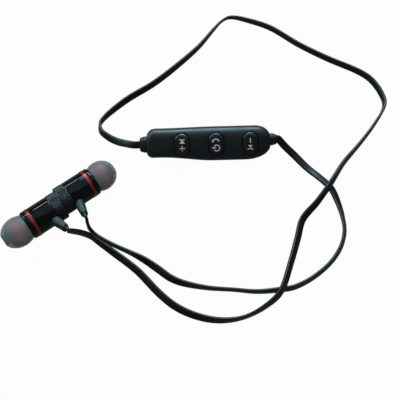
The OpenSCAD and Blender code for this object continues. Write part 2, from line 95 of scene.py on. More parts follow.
# %% [markdown]
# ## Floor, world and lamps
# The object lies on a plain white surface. A floor that is mostly self-lit stays white and still keeps a
# faint shadow, and the world behind it is white only where it is seen. Black plastic shows little but
# reflections, so the lamps matter more than its colour. One wide panel overhead lights everything softly.
# Three cool panels, above, behind and on the left, are only mirrored: they give the blue sheen on the
# upper edges. A narrow strip draws the thin line on the lacquered barrels.

# %% Shader helpers


def add_node(tree, kind, inputs=None, **settings):
    """A shader or geometry node with its settings and unlinked inputs filled in."""
    made = tree.nodes.new(kind)
    for name, value in settings.items():
        setattr(made, name, value)
    for name, value in (inputs or {}).items():
        made.inputs[name].default_value = value
    return made


def link(tree, source, output, target, socket):
    tree.links.new(source.outputs[output], target.inputs[socket])


def whitened(tree, plain, white, seen, mirrored):
    """Mixes white over a plain shader: one share where it is seen, also through glass, and one in mirrors."""
    path = add_node(tree, "ShaderNodeLightPath")
    straight = add_node(tree, "ShaderNodeMath", operation="MAXIMUM")
    direct = add_node(tree, "ShaderNodeMath", {1: seen}, operation="MULTIPLY")
    glossy = add_node(tree, "ShaderNodeMath", {1: mirrored}, operation="MULTIPLY")
    share = add_node(tree, "ShaderNodeMath", operation="MAXIMUM")
    mix = add_node(tree, "ShaderNodeMixShader")
    link(tree, path, "Is Camera Ray", straight, 0)
    link(tree, path, "Is Transmission Ray", straight, 1)
    link(tree, straight, 0, direct, 0)
    link(tree, path, "Is Glossy Ray", glossy, 0)
    link(tree, direct, 0, share, 0)
    link(tree, glossy, 0, share, 1)
    link(tree, share, 0, mix, "Fac")
    link(tree, plain, 0, mix, 1)
    link(tree, white, 0, mix, 2)
    return mix


# Sockets of a Mix node for colours: its share, first colour, second colour and result
MIX_SHARE, MIX_FIRST, MIX_SECOND, MIX_RESULT = 0, 6, 7, 2


def mix_colours(tree, first, second):
    """A Mix node between two plain colours, whose share is still to be linked."""
    return add_node(tree, "ShaderNodeMix", {MIX_FIRST: first, MIX_SECOND: second}, data_type="RGBA")


print("shader helpers ready")

# %% Floor
FLOOR_SIDE = 8.0
# The floor lies this far under the object, so that no two faces share a place
FLOOR_BELOW = 0.02 * MM
FLOOR_GREY, WHITE = (0.3, 0.3, 0.3, 1), (1, 1, 1, 1)
FLOOR_SELF_LIT, FLOOR_MIRRORED = 0.97, 0.1


def floor_material():
    material = bpy.data.materials.new("floor_white")
    material.use_nodes = True
    tree = material.node_tree
    tree.nodes.clear()
    output = add_node(tree, "ShaderNodeOutputMaterial")
    diffuse = add_node(tree, "ShaderNodeBsdfDiffuse", {"Color": FLOOR_GREY})
    white = add_node(tree, "ShaderNodeEmission", {"Color": WHITE, "Strength": 1})
    link(tree, whitened(tree, diffuse, white, FLOOR_SELF_LIT, FLOOR_MIRRORED), 0, output, "Surface")
    return material


def add_floor():
    half = FLOOR_SIDE / 2
    mesh = bpy.data.meshes.new("floor")
    corners = [(-half, -half, 0), (half, -half, 0), (half, half, 0), (-half, half, 0)]
    mesh.from_pydata(corners, [], [(0, 1, 2, 3)])
    floor = bpy.data.objects.new("floor", mesh)
    floor.location = (0, 0, -FLOOR_BELOW)
    mesh.materials.append(floor_material())
    bpy.context.scene.collection.objects.link(floor)


add_floor()
print("floor side:", FLOOR_SIDE, "m")

# %% World and lamps
HORIZON = (0.09, 0.08, 0.075, 1)
ZENITH = (0.08, 0.1, 0.12, 1)
# Upward share of a direction from which the sky has its upper colour
ZENITH_FROM = 0.55
BACKDROP, BACKDROP_MIRRORED = 0.98, 0.1


def light_world():
    world = bpy.data.worlds.new("studio")
    bpy.context.scene.world = world
    world.use_nodes = True
    tree = world.node_tree
    tree.nodes.clear()
    coordinates = add_node(tree, "ShaderNodeTexCoord")
    split = add_node(tree, "ShaderNodeSeparateXYZ")
    ramp = add_node(tree, "ShaderNodeMapRange", {"From Min": 0.0, "From Max": ZENITH_FROM})
    blend = mix_colours(tree, HORIZON, ZENITH)
    sky = add_node(tree, "ShaderNodeBackground", {"Strength": 1.0})
    backdrop = add_node(tree, "ShaderNodeBackground", {"Color": WHITE, "Strength": BACKDROP})
    output = add_node(tree, "ShaderNodeOutputWorld")
    link(tree, coordinates, "Generated", split, 0)
    link(tree, split, "Z", ramp, "Value")
    link(tree, ramp, "Result", blend, MIX_SHARE)
    link(tree, blend, MIX_RESULT, sky, "Color")
    link(tree, whitened(tree, sky, backdrop, 1.0, BACKDROP_MIRRORED), 0, output, "Surface")


def add_lamp(name, place, size, watts, color, use):
    """A rectangular lamp aimed at the middle of the object, to light it, to be mirrored in it, or both."""
    data = bpy.data.lights.new(name, "AREA")
    data.shape = "RECTANGLE"
    data.size, data.size_y = size
    data.energy = watts
    data.color = color
    lamp = bpy.data.objects.new(name, data)
    lamp.location = place
    aim = Vector((0, 0, 0)) - lamp.location
    lamp.rotation_euler = aim.to_track_quat("-Z", "Y").to_euler()
    lamp.visible_diffuse = use != "mirror"
    lamp.visible_glossy = use != "light"
    bpy.context.scene.collection.objects.link(lamp)


light_world()
# Rows: name, place, size, watts, colour and use
LAMPS = [
    ("overhead_panel", (0.0, 0.05, 1.1), (0.9, 0.7), 6.0, (1.0, 0.99, 0.98), "light"),
    ("sky_panel", (0.15, 0.3, 1.05), (1.3, 1.0), 4.4, (0.5, 0.8, 1.0), "mirror"),
    ("cool_panel", (0.08, 0.66, 0.61), (0.5, 0.46), 14.5, (0.5, 0.84, 1.0), "mirror"),
    ("left_panel", (-0.72, 0.335, 0.5), (0.55, 0.5), 9.5, (0.5, 0.84, 1.0), "mirror"),
    ("window_strip", (-0.24, 0.78, 0.57), (0.56, 0.065), 3.0, (0.95, 0.98, 1.0), "both"),
]
for name, place, size, watts, color, use in LAMPS:
    add_lamp(name, place, size, watts, color, use)
print("lamps:", len(LAMPS))

# %% [markdown]
# ## Finishes
# No real surface is one flat colour. Moulded plastic has a fine grain from its mould, hands leave smudges
# that change the gloss, and turned metal has rings from the lathe. A small node group makes grain and
# smudges once, and each material places it with its own sizes.

# %% Node group: grain and smudges


def surface_grain_group():
    group = bpy.data.node_groups.new("surface_grain", "ShaderNodeTree")
    sockets = group.interface
    sockets.new_socket("Vector", in_out="INPUT", socket_type="NodeSocketVector")
    for name in ("Grain Scale", "Smudge Scale", "Rough Low", "Rough High"):
        sockets.new_socket(name, in_out="INPUT", socket_type="NodeSocketFloat")
    for name in ("Roughness", "Tone", "Height"):
        sockets.new_socket(name, in_out="OUTPUT", socket_type="NodeSocketFloat")
    given = add_node(group, "NodeGroupInput")
    result = add_node(group, "NodeGroupOutput")
    grain = add_node(group, "ShaderNodeTexNoise", {"Detail": 3.0, "Roughness": 0.6})
    smudge = add_node(group, "ShaderNodeTexNoise", {"Detail": 4.0, "Roughness": 0.62, "Distortion": 0.4})
    spread = add_node(group, "ShaderNodeMapRange", {"From Min": 0.3, "From Max": 0.7})
    tone = add_node(group, "ShaderNodeMapRange", {"From Min": 0.28, "From Max": 0.72})
    for texture, scale in ((grain, "Grain Scale"), (smudge, "Smudge Scale")):
        link(group, given, "Vector", texture, "Vector")
        link(group, given, scale, texture, "Scale")
    link(group, smudge, "Fac", spread, "Value")
    link(group, given, "Rough Low", spread, "To Min")
    link(group, given, "Rough High", spread, "To Max")
    link(group, smudge, "Fac", tone, "Value")
    link(group, spread, "Result", result, "Roughness")
    link(group, tone, "Result", result, "Tone")
    link(group, grain, "Fac", result, "Height")
    return group


surface_grain = surface_grain_group()
print("node group:", surface_grain.name)

# %% [markdown]
# ## One recipe for a finish
# Every material below has the same bones: two close colours that the smudges mix, a roughness that the
# smudges move, and a grain that lifts the surface by hundredths of a millimetre or less. Round and long
# pieces carry a UV map in metres, so that their grain can run along the surface as lathe rings or as drawn
# lines. Where a value stored on the mesh says more than smudges do, it mixes the two colours instead.

# %% Material recipe


def finish_material(
        name, dark, light, rough, grain_scale, grain_depth, smudge_scale=90.0, stretch=None, **settings):
    """A Principled material with varied colour, varied gloss and a fine grain."""
    material = bpy.data.materials.new(name)
    material.use_nodes = True
    tree = material.node_tree
    shader = tree.nodes["Principled BSDF"]
    coordinates = add_node(tree, "ShaderNodeTexCoord")
    low, high = rough
    sizes = {"Grain Scale": grain_scale, "Smudge Scale": smudge_scale, "Rough Low": low, "Rough High": high}
    grain = add_node(tree, "ShaderNodeGroup", sizes, node_tree=surface_grain)
    if stretch:
        mapping = add_node(tree, "ShaderNodeMapping", {"Scale": stretch})
        link(tree, coordinates, "UV", mapping, "Vector")
        link(tree, mapping, "Vector", grain, "Vector")
    else:
        link(tree, coordinates, "Object", grain, "Vector")
    blend = mix_colours(tree, (*dark, 1), (*light, 1))
    link(tree, grain, "Tone", blend, MIX_SHARE)
    link(tree, blend, MIX_RESULT, shader, "Base Color")
    link(tree, grain, "Roughness", shader, "Roughness")
    bump = add_node(tree, "ShaderNodeBump", {"Strength": 1.0, "Distance": grain_depth})
    link(tree, grain, "Height", bump, "Height")
    link(tree, bump, "Normal", shader, "Normal")
    for socket, value in settings.items():
        shader.inputs[socket.replace("_", " ")].default_value = value
    return material


def tone_from(material, attribute):
    """Lets a value stored on the mesh mix a material's two colours in place of the smudges."""
    tree = material.node_tree
    blend = next(n for n in tree.nodes if n.bl_idname == "ShaderNodeMix")
    stored = add_node(tree, "ShaderNodeAttribute", attribute_name=attribute)
    link(tree, stored, "Fac", blend, MIX_SHARE)


print("recipe ready")

# %% Finishes of the outside
satin_black = finish_material(
    "satin_black", (0.003, 0.0036, 0.0042), (0.005, 0.006, 0.007), (0.4, 0.52), 5200, 0.012 * MM,
    Specular_IOR_Level=0.35)
button_black = finish_material(
    "button_black", (0.0035, 0.004, 0.0047), (0.0055, 0.0065, 0.0075), (0.32, 0.42), 6500, 0.008 * MM,
    Specular_IOR_Level=0.4)
gloss_lacquer = finish_material(
    "gloss_lacquer", (0.0025, 0.003, 0.0035), (0.004, 0.0048, 0.0055), (0.05, 0.1), 1500, 0.0002 * MM,
    Specular_IOR_Level=0.16)
red_anodised = finish_material(
    "red_anodised", (0.2, 0.012, 0.013), (0.3, 0.02, 0.021), (0.24, 0.36), 1.0, 0.006 * MM,
    stretch=(60, 9000, 1), Metallic=0.55)
cord_black = finish_material(
    "cord_black", (0.0035, 0.0032, 0.0032), (0.0055, 0.0052, 0.0052), (0.3, 0.42), 1.0, 0.003 * MM,
    stretch=(120, 5200, 1), Specular_IOR_Level=0.22)
boot_grey = finish_material(
    "boot_grey", (0.018, 0.033, 0.039), (0.024, 0.042, 0.048), (0.5, 0.64), 4200, 0.0015 * MM,
    Specular_IOR_Level=0.22)
gland_black = finish_material(
    "gland_black", (0.005, 0.006, 0.007), (0.008, 0.0095, 0.011), (0.42, 0.55), 4200, 0.014 * MM,
    Specular_IOR_Level=0.25)
tip_silicone = finish_material(
    "tip_silicone", (0.205, 0.245, 0.255), (0.34, 0.235, 0.245), (0.46, 0.6), 2600, 0.01 * MM,
    Alpha=0.72, Specular_IOR_Level=0.2)
tone_from(tip_silicone, "core_glow")
core_silicone = finish_material(
    "core_silicone", (0.7, 0.04, 0.05), (0.8, 0.06, 0.07), (0.45, 0.55), 2600, 0.008 * MM)
print_white = finish_material(
    "print_white", (0.62, 0.64, 0.66), (0.78, 0.79, 0.8), (0.5, 0.65), 3000, 0.004 * MM, smudge_scale=900.0)
collar_black = finish_material(
    "collar_black", (0.011, 0.013, 0.015), (0.018, 0.021, 0.024), (0.3, 0.42), 1.0, 0.003 * MM,
    stretch=(9000, 60, 1), Metallic=0.5)
# The stored crest value darkens the pyramids' feet and lightens their crests: painted shade in the hollows and
# painted highlight on the crests.
knurl_shaded_black = finish_material(
    "knurl_shaded_black", (0.002, 0.0027, 0.003), (0.022, 0.027, 0.03), (0.4, 0.52), 4000, 0.002 * MM,
    Specular_IOR_Level=0.2)
tone_from(knurl_shaded_black, "crest")
mesh_steel = finish_material(
    "mesh_steel", (0.42, 0.42, 0.43), (0.55, 0.55, 0.56), (0.25, 0.4), 3000, 0.002 * MM, Metallic=1.0)
print("outside finishes made")

# %% [markdown]
# ## Mesh helpers
# Most pieces here are one of two kinds: a skin stretched over a row of rings, or a turned profile, which is
# the same thing with round rings. One function makes the faces of both and writes a UV map in metres.

# %% Skins and turned profiles
# Points closer than this are one point, and one rounding takes up less than half of an edge
WELD_DISTANCE, ROUNDING_SHARE = 1e-7, 0.49


def skin(name, rings, closed=False):
    """A mesh object stretched over rings of equal point counts: its ends are capped or, if closed, joined."""
    count = len(rings[0])
    points = [tuple(p) for ring in rings for p in ring]
    row_pairs = [(r, r + 1) for r in range(len(rings) - 1)]
    if closed:
        row_pairs.append((len(rings) - 1, 0))
    faces = []
    corners = []
    run = 0.0
    for a, b in row_pairs:
        step = (Vector(rings[a][0]) - Vector(rings[b][0])).length
        girth = sum((Vector(rings[a][i]) - Vector(rings[a][i - 1])).length for i in range(count))
        for i in range(count):
            j = (i + 1) % count
            faces.append((a * count + i, a * count + j, b * count + j, b * count + i))
            u, v = girth * i / count, girth * (i + 1) / count
            corners += [(run, u), (run, v), (run + step, v), (run + step, u)]
        run += step
    if not closed:
        first = list(reversed(range(count)))
        last = list(range((len(rings) - 1) * count, len(rings) * count))
        for ring in (first, last):
            faces.append(tuple(ring))
            corners += [(points[k][0], points[k][1]) for k in ring]
    mesh = bpy.data.meshes.new(name)
    mesh.from_pydata(points, [], faces)
    layer = mesh.uv_layers.new(name="UVMap")
    for loop, corner in zip(layer.data, corners):
        loop.uv = corner
    piece = bpy.data.objects.new(name, mesh)
    bpy.context.scene.collection.objects.link(piece)
    tidy_mesh(piece)
    return piece


def tidy_mesh(piece, sharp_angle=38):
    """Closes seams and poles, turns faces outwards and shades smoothly up to an angle."""
    work = bmesh.new()
    work.from_mesh(piece.data)
    bmesh.ops.remove_doubles(work, verts=work.verts, dist=WELD_DISTANCE)
    bmesh.ops.recalc_face_normals(work, faces=work.faces)
    work.to_mesh(piece.data)
    work.free()
    piece.data.shade_smooth()
    piece.data.set_sharp_from_angle(angle=math.radians(sharp_angle))


def fillet(corners, steps=5):
    """A closed profile with each corner (radius, height, rounding) turned into an arc."""
    profile = []
    count = len(corners)
    for i, (r, z, rounding) in enumerate(corners):
        here = Vector((r, z))
        before = Vector(corners[i - 1][:2]) - here
        after = Vector(corners[(i + 1) % count][:2]) - here
        if rounding <= 0:
            profile.append(here)
            continue
        half_angle = before.angle(after) / 2
        room = ROUNDING_SHARE * min(before.length, after.length)
        reach_back = min(rounding / math.tan(half_angle), room)
        start = here + before.normalized() * reach_back
        end = here + after.normalized() * reach_back
        for k in range(steps + 1):
            t = k / steps
            profile.append((1 - t) ** 2 * start + 2 * t * (1 - t) * here + t ** 2 * end)
    return [(p.x, p.y) for p in profile]


def circle(radius, z, place, segments):
    """Ring of points round the local Z axis, put in place."""
    angles = [math.tau * k / segments for k in range(segments)]
    return [place @ Vector((radius * math.cos(a), radius * math.sin(a), z)) for a in angles]


def turned(name, profile, place, segments=96):
    """A closed profile of (radius, height) turned round the local Z axis."""
    return skin(name, [circle(r, z, place, segments) for r, z in profile], closed=True)


def dress(piece, material, body, slot, *replaced):
    """Gives a piece its finish and the body that it rides on, and hides the CAD nodes that it stands for."""
    piece.data.materials.clear()
    piece.data.materials.append(material)
    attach(piece, body)
    if replaced:
        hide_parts(*replaced)
    print("made", piece.name, "with", len(piece.data.polygons), "faces")


print("mesh helpers ready")

# %% [markdown]
# ## Where the box and the buds lie
# The box lies rolled towards the viewer. The two buds share one line on the table, a little out of step
# where the magnets hold. Each gets one matrix, so that its pieces can be made in plain local axes.

# %% Places of the box and the buds
BOX_LENGTH, BOX_WIDTH, BOX_NARROW, BOX_HEIGHT = 51.3 * MM, 14.05 * MM, 12 * MM, 8.6 * MM
BOX_FAR, BOX_FAR_SWELL = 6.85 * MM, 0.35 * MM
BOX_ROLL = math.radians(39)
BOX_AT = Vector((26.6, 19)) * MM
RIGHT_GLAND_Y = 0.9 * MM
SQUARENESS = 3.2
BARREL_R = 5.9 * MM
BUD_HEADING = math.radians(36)
BUD_OFFSET, BUD_GAP = 1.1 * MM, 0.2 * MM
JOINT_AT = Vector((-33.35, -7.15, 6.1)) * MM
BOOT_RISE = {"left": math.radians(12), "right": math.radians(8)}
SIDE_SIGN = {"left": 1, "right": -1}

along = Vector((math.cos(BUD_HEADING), math.sin(BUD_HEADING), 0))
across = Vector((math.sin(BUD_HEADING), -math.cos(BUD_HEADING), 0))


def section_point(far, near, tall, angle):
    """Point (y, z) of the box's rounded cross-section, whose far and near sides differ in width."""
    c, s = math.cos(angle), math.sin(angle)
    y = (far if c > 0 else -near) * abs(c) ** (2 / SQUARENESS)
    z = tall * math.copysign(abs(s) ** (2 / SQUARENESS), s)
    return y, z


# The frame's box stands on the lowest corner of its many-sided cross-section
CAD_SIDES = 36
lowest = min(
    y * math.sin(BOX_ROLL) + z * math.cos(BOX_ROLL)
    for y, z in (
        section_point(BOX_FAR, BOX_WIDTH - BOX_FAR, BOX_HEIGHT / 2, math.tau * k / CAD_SIDES)
        for k in range(CAD_SIDES)
    )
)
box_z = -lowest
box_place = Matrix.Translation((BOX_AT.x, BOX_AT.y, box_z)) @ Matrix.Rotation(BOX_ROLL, 4, "X")
shift = across * BUD_OFFSET / 2 - along * BUD_GAP / 2


def bud_frame(sign, turn, roll):
    """Axes of a bud: local Z runs from its back to its ear tip, local Y points away from its boot."""
    return (
        Matrix.Translation(JOINT_AT + sign * shift)
        @ Matrix.Rotation(BUD_HEADING + turn, 4, "Z")
        @ Matrix.Rotation(math.pi / 2, 4, "Y")
        @ Matrix.Rotation(roll, 4, "Z")
    )


bud_place = {
    "left": bud_frame(SIDE_SIGN["left"], math.pi, BOOT_RISE["left"]),
    "right": bud_frame(SIDE_SIGN["right"], 0, math.pi - BOOT_RISE["right"]),
}
print("middle of the box above the table:", round(box_z / MM, 2), "mm")

# %% [markdown]
# ## The flat cord
# The cord is a soft ribbon, 3.1 mm wide and 1.2 mm thick, and it mostly stands or leans on its narrow edge.
# A curve object with a bevel can't lean freely, so the ribbon is swept by hand: each row of the route has a
# place, a lean and the height of the lower edge, and a smooth curve runs through the rows.

# %% Routes of the cord
CORD_WIDTH, CORD_THICKNESS = 3.1 * MM, 1.2 * MM
GLAND_LENGTH = 2.9 * MM
BOOT_LENGTH = 5.8 * MM
BOOT_Z = 6.9 * MM
BOOT_TILT = math.radians(12)
# The ribbon stops this short of the gland and the boot
CORD_GAP = 0.03 * MM
# Straight run out of the gland, and places on the straight run into the boot
LONG_STRAIGHT, SHORT_STRAIGHT = 2.5 * MM, 0.7 * MM
BOOT_RUN = (2 * MM, 1 * MM)

# Rows: x and y in metres, lean in degrees, height of the lower edge in metres
LONG_ROUTE = [
    (-0.0075, 0.0204, -33, 0.0038), (-0.0115, 0.0226, -38, 0.002), (-0.0155, 0.0255, -48, 0.0008),
    (-0.0192, 0.0298, -68, 0), (-0.0184, 0.0353, -94, 0), (-0.0085, 0.045, -118, 0),
    (0.0035, 0.0535, -114, 0), (0.014, 0.063, -106, 0), (0.024, 0.0735, -93, 0),
    (0.031, 0.083, -78, 0), (0.0355, 0.0885, -62, 0), (0.04, 0.0905, -68, 0),
    (0.0475, 0.0885, -86, 0), (0.058, 0.0835, -95, 0), (0.07, 0.0735, -98, 0),
    (0.0825, 0.065, -102, 0), (0.0945, 0.058, -107, 0), (0.1005, 0.0525, -112, 0),
    (0.104, 0.0445, -107, 0), (0.104, 0.038, -97, 0), (0.098, 0.0285, -90, 0),
    (0.0905, 0.019, -86, 0.0005), (0.0825, 0.0095, -74, 0.0018), (0.0765, 0.0005, -62, 0.0026),
    (0.07, -0.008, -54, 0.0018), (0.0635, -0.015, -40, 0.0005), (0.0605, -0.0235, -40, 0.0008),
    (0.057, -0.0335, -48, 0.0024), (0.052, -0.046, -55, 0.0039), (0.046, -0.0515, -76, 0.0024),
    (0.038, -0.055, -90, 0.0005), (0.0295, -0.056, -72, 0), (0.021, -0.0545, -52, 0),
    (0.0125, -0.0505, -38, 0), (0.0055, -0.0445, -36, 0), (-0.003, -0.035, -38, 0),
    (-0.0127, -0.0269, -46, 0), (-0.0177, -0.023, -60, 0.0001), (-0.0212, -0.0206, -72, 0.0012),
    (-0.0248, -0.0202, -82, 0.0042),
]
SHORT_ROUTE = [
    (0.0584, 0.0176, 26, 0.0037), (0.0625, 0.0142, 14, 0.0017), (0.0675, 0.009, -2, 0.0004),
    (0.0725, 0.004, -12, 0), (0.0765, -0.001, -15, 0), (0.0785, -0.008, -35, 0), (0.0795, -0.0145, -55, 0),
    (0.0795, -0.021, -68, 0), (0.077, -0.028, -73, 0), (0.072, -0.0345, -79, 0),
    (0.065, -0.04, -80, 0), (0.058, -0.0435, -78, 0), (0.052, -0.0445, -78, 0),
    (0.043, -0.045, -90, 0), (0.034, -0.044, -95, 0), (0.0245, -0.043, -88, 0),
    (0.0155, -0.041, -65, 0), (0.01, -0.0385, -45, 0), (0.005, -0.0345, -36, 0),
    (-0.0005, -0.0305, -58, 0), (-0.006, -0.0273, -84, 0), (-0.012, -0.0242, -90, 0),
    (-0.0172, -0.0211, -90, 0), (-0.0207, -0.0184, -90, 0.0004), (-0.022, -0.017, -90, 0.0035),
]


def boot_way(side):
    """Unit vector along a bud's boot, away from the barrel."""
    outwards = math.cos(BOOT_RISE[side]) * across + math.sin(BOOT_RISE[side]) * Vector((0, 0, 1))
    return math.cos(BOOT_TILT) * outwards + SIDE_SIGN[side] * math.sin(BOOT_TILT) * along


def boot_end(side):
    root = JOINT_AT + SIDE_SIGN[side] * (shift - BOOT_Z * along)
    return root + (BARREL_R + BOOT_LENGTH) * boot_way(side)


def gland_end(sign):
    y = RIGHT_GLAND_Y if sign > 0 else 0
    return box_place @ Vector((sign * (BOX_LENGTH / 2 + GLAND_LENGTH), y, 0))


def lay(route):
    """Rows of a route with the height of the ribbon's middle: x, y, z, lean in degrees."""
    rows = []
    for x, y, lean, lift in route:
        a = math.radians(lean)
        middle = CORD_WIDTH / 2 * abs(math.sin(a)) + CORD_THICKNESS / 2 * abs(math.cos(a))
        rows.append(Vector((x, y, lift + middle, lean)))
    return rows


def whole_route(sign, side, lean, straight, route):
    """Rows from the gland's face, along the table and into the boot's end."""
    gland, end = gland_end(sign), boot_end(side)
    out = [gland + Vector((sign * d, 0, 0)) for d in (CORD_GAP, straight)]
    arrive = [end + d * boot_way(side) for d in (*BOOT_RUN, CORD_GAP)]
    return [Vector((*p, lean)) for p in out] + lay(route) + [Vector((*p, -90)) for p in arrive]


def curve_point(rows, u):
    """Point of a smooth curve through the rows; u counts rows."""
    i = min(len(rows) - 2, int(u))
    t = u - i
    a, b, c, d = [rows[min(len(rows) - 1, max(0, i + k))] for k in (-1, 0, 1, 2)]
    square, cube = 2 * a - 5 * b + 4 * c - d, 3 * b - a - 3 * c + d
    return 0.5 * (2 * b + (c - a) * t + square * t ** 2 + cube * t ** 3)


print("rows of the cords:", len(LONG_ROUTE), "and", len(SHORT_ROUTE))

# %% Ribbon of the cord
RINGS_PER_ROW = 8
RIBBON_CORNER_STEPS = 4
RIBBON_ROUNDING = 0.42 * CORD_THICKNESS
# The heading is taken between two places this share of a row apart on either side
HEADING_STEP = 0.02


def ribbon_outline():
    """Rounded flat outline: (across the width, across the thickness)."""
    half_wide, half_thin = CORD_WIDTH / 2 - RIBBON_ROUNDING, CORD_THICKNESS / 2 - RIBBON_ROUNDING
    outline = []
    for k, (sw, st) in enumerate([(1, 1), (-1, 1), (-1, -1), (1, -1)]):
        middle = Vector((sw * half_wide, st * half_thin))
        for step in range(RIBBON_CORNER_STEPS + 1):
            a = math.pi / 2 * (k + step / RIBBON_CORNER_STEPS)
            outline.append(middle + RIBBON_ROUNDING * Vector((math.cos(a), math.sin(a))))
    return outline


def ribbon(name, rows):
    """The ribbon's mesh and the points of its centreline."""
    outline = ribbon_outline()
    count = RINGS_PER_ROW * (len(rows) - 1)
    rings, centre = [], []
    for k in range(count + 1):
        u = k / RINGS_PER_ROW
        row = curve_point(rows, u)
        ahead = curve_point(rows, min(len(rows) - 1, u + HEADING_STEP)).xyz
        behind = curve_point(rows, max(0, u - HEADING_STEP)).xyz
        heading = (ahead - behind).normalized()
        level = Vector((0, 0, 1)).cross(heading).normalized()
        top = heading.cross(level)
        lean = math.radians(row.w)
        wide = math.cos(lean) * level + math.sin(lean) * top
        thin = math.cos(lean) * top - math.sin(lean) * level
        rings.append([row.xyz + p.x * wide + p.y * thin for p in outline])
        centre.append(row.xyz.copy())
    return skin(name, rings), centre


def add_cord(name, node, rows, bud, pull_from, pull_to):
    """A ribbon through the rows, with the cord's finish, standing in for the CAD cord."""
    piece, centre = ribbon(name, rows)
    piece.data.materials.append(cord_black)
    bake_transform(piece)
    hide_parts(node)


roll_degrees = math.degrees(BOX_ROLL)
long_rows = whole_route(-1, "left", -roll_degrees, LONG_STRAIGHT, LONG_ROUTE)
short_rows = whole_route(1, "right", roll_degrees, SHORT_STRAIGHT, SHORT_ROUTE)
# Direction in which a cord passes from the box's motion to its bud's, and millimetres from start to end
LONG_PULL, LONG_PASSAGE = Vector((-0.82, -0.57, 0)), (8, 34)
SHORT_PULL, SHORT_PASSAGE = Vector((-0.707, 0.707, 0)), (-22, 6)
long_pulls = [LONG_PULL * d * MM for d in LONG_PASSAGE]
short_pulls = [SHORT_PULL * d * MM for d in SHORT_PASSAGE]
add_cord("long_cord_ribbon", "long_cord", long_rows, "left_bud", *long_pulls)
add_cord("short_cord_ribbon", "short_cord", short_rows, "right_bud", *short_pulls)

# %% [markdown]
# ## Shape of the control box
# The box is a small moulding with a nearly straight far edge, a swelling near edge and a right end that runs
# slantwise into the cord. A few functions give its widths and its height at any place along it. Everything
# on the box is cut by or laid on this surface, so the buttons follow its face.

# %% Surface of the box
BUTTON_PROUD = 0.45 * MM
WIDEN_FROM, WIDEN_TO = 6 * MM, 28 * MM
# Rounded ends: run along the box and inset
LEFT_FAR, LEFT_NEAR, LEFT_TALL = (3.6 * MM, 3.3 * MM), (2.5 * MM, 2.1 * MM), (2.6 * MM, 1.2 * MM)
RIGHT_FAR, RIGHT_NEAR, RIGHT_TALL = (6 * MM, 4.6 * MM), (10.6 * MM, 5.6 * MM), (6 * MM, 1.7 * MM)


def inset(d, rounding):
    run, deep = rounding
    return 0.0 if d >= run else deep * (1 - math.sqrt(max(0.0, 1 - (1 - d / run) ** 2)))


def box_sides(d):
    """Width to the far side, width to the near side and half height at distance d from the left end."""
    t = min(1.0, max(0.0, (d - WIDEN_FROM) / (WIDEN_TO - WIDEN_FROM)))
    widening = t * t * (3 - 2 * t)
    width = BOX_NARROW + (BOX_WIDTH - BOX_NARROW) * widening
    straight_far = BOX_FAR - BOX_FAR_SWELL * (1 - widening)
    rest = BOX_LENGTH - d
    far = straight_far - inset(d, LEFT_FAR) - inset(rest, RIGHT_FAR)
    near = width - straight_far - inset(d, LEFT_NEAR) - inset(rest, RIGHT_NEAR)
    tall = BOX_HEIGHT / 2 - inset(d, LEFT_TALL) - inset(rest, RIGHT_TALL)
    return far, near, tall


def face_height(x, y, grow=0.0):
    """Height of the box's face at a place on it, for the surface grown outwards."""
    far, near, tall = box_sides(min(BOX_LENGTH, max(0.0, x + BOX_LENGTH / 2)))
    reach_y = (far if y > 0 else near) + grow
    ratio = min(1.0, abs(y) / reach_y)
    return (tall + grow) * (1 - ratio ** SQUARENESS) ** (1 / SQUARENESS)


print("face of the box above its middle:", round(face_height(0, 0) / MM, 2), "mm")

# %% [markdown]
# ## The two shells
# The box is moulded in two halves that meet in a fine groove. Each half is a skin over many cross-sections.
# The hollow, the button wells and the holes for the cord glands are then cut out, as a mould would leave
# them, and the lower half gets a pocket for the charging socket in its near side. The wells have a rounded
# rim, because that rim catches the light in the picture.

# %% Cutting helpers


def carve(piece, *tools):
    """Applies boolean tools, given as (operation, cutter) pairs, and removes the cutters."""
    for operation, cutter in tools:
        step = piece.modifiers.new(cutter.name, "BOOLEAN")
        step.operation = operation
        step.solver = "EXACT"
        step.object = cutter
    graph = bpy.context.evaluated_depsgraph_get()
    result = bpy.data.meshes.new_from_object(piece.evaluated_get(graph))
    piece.modifiers.clear()
    piece.data = result
    for _, cutter in tools:
        bpy.data.objects.remove(cutter)
    tidy_mesh(piece)


def block(name, low, high, place):
    """A plain box between two corners."""
    (x0, y0, z0), (x1, y1, z1) = low, high
    rings = [
        [place @ Vector(p) for p in ((x0, y0, z), (x1, y0, z), (x1, y1, z), (x0, y1, z))]
        for z in (z0, z1)
    ]
    return skin(name, rings)


def rod(name, radius, z0, z1, place, segments=48):
    """A plain round rod along the local Z axis."""
    return skin(name, [circle(radius, z, place, segments) for z in (z0, z1)])


def capsule(half_width, straight, steps=16):
    """Capsule outline with its long way along Y, as (x, y) pairs."""
    pairs = []
    for k in range(2 * steps + 2):
        side = 1 if k <= steps else -1
        a = math.pi * (k if side > 0 else k - 1) / steps
        pairs.append((half_width * math.cos(a), side * straight / 2 + half_width * math.sin(a)))
    return pairs


def quarter_round(steps):
    """Shares of a quarter arc, drawn in and dropped, from its outer lower end to its top."""
    angles = [math.pi / 2 * k / steps for k in range(steps + 1)]
    return [(1 - math.cos(a), 1 - math.sin(a)) for a in angles]


print("cutting helpers ready")

# %% Sizes of the shells
# Heights count from the middle of the box
WALL, FLOOR_THICKNESS, UNDERSIDE_CUT = 1.2 * MM, 1.4 * MM, 0.2 * MM
PARTING = -0.6 * MM
UNDERSIDE = UNDERSIDE_CUT - BOX_HEIGHT / 2
FLOOR_INSIDE = UNDERSIDE + FLOOR_THICKNESS
SEAM_RISE, SEAM_DEPTH = 0.14 * MM, 0.12 * MM
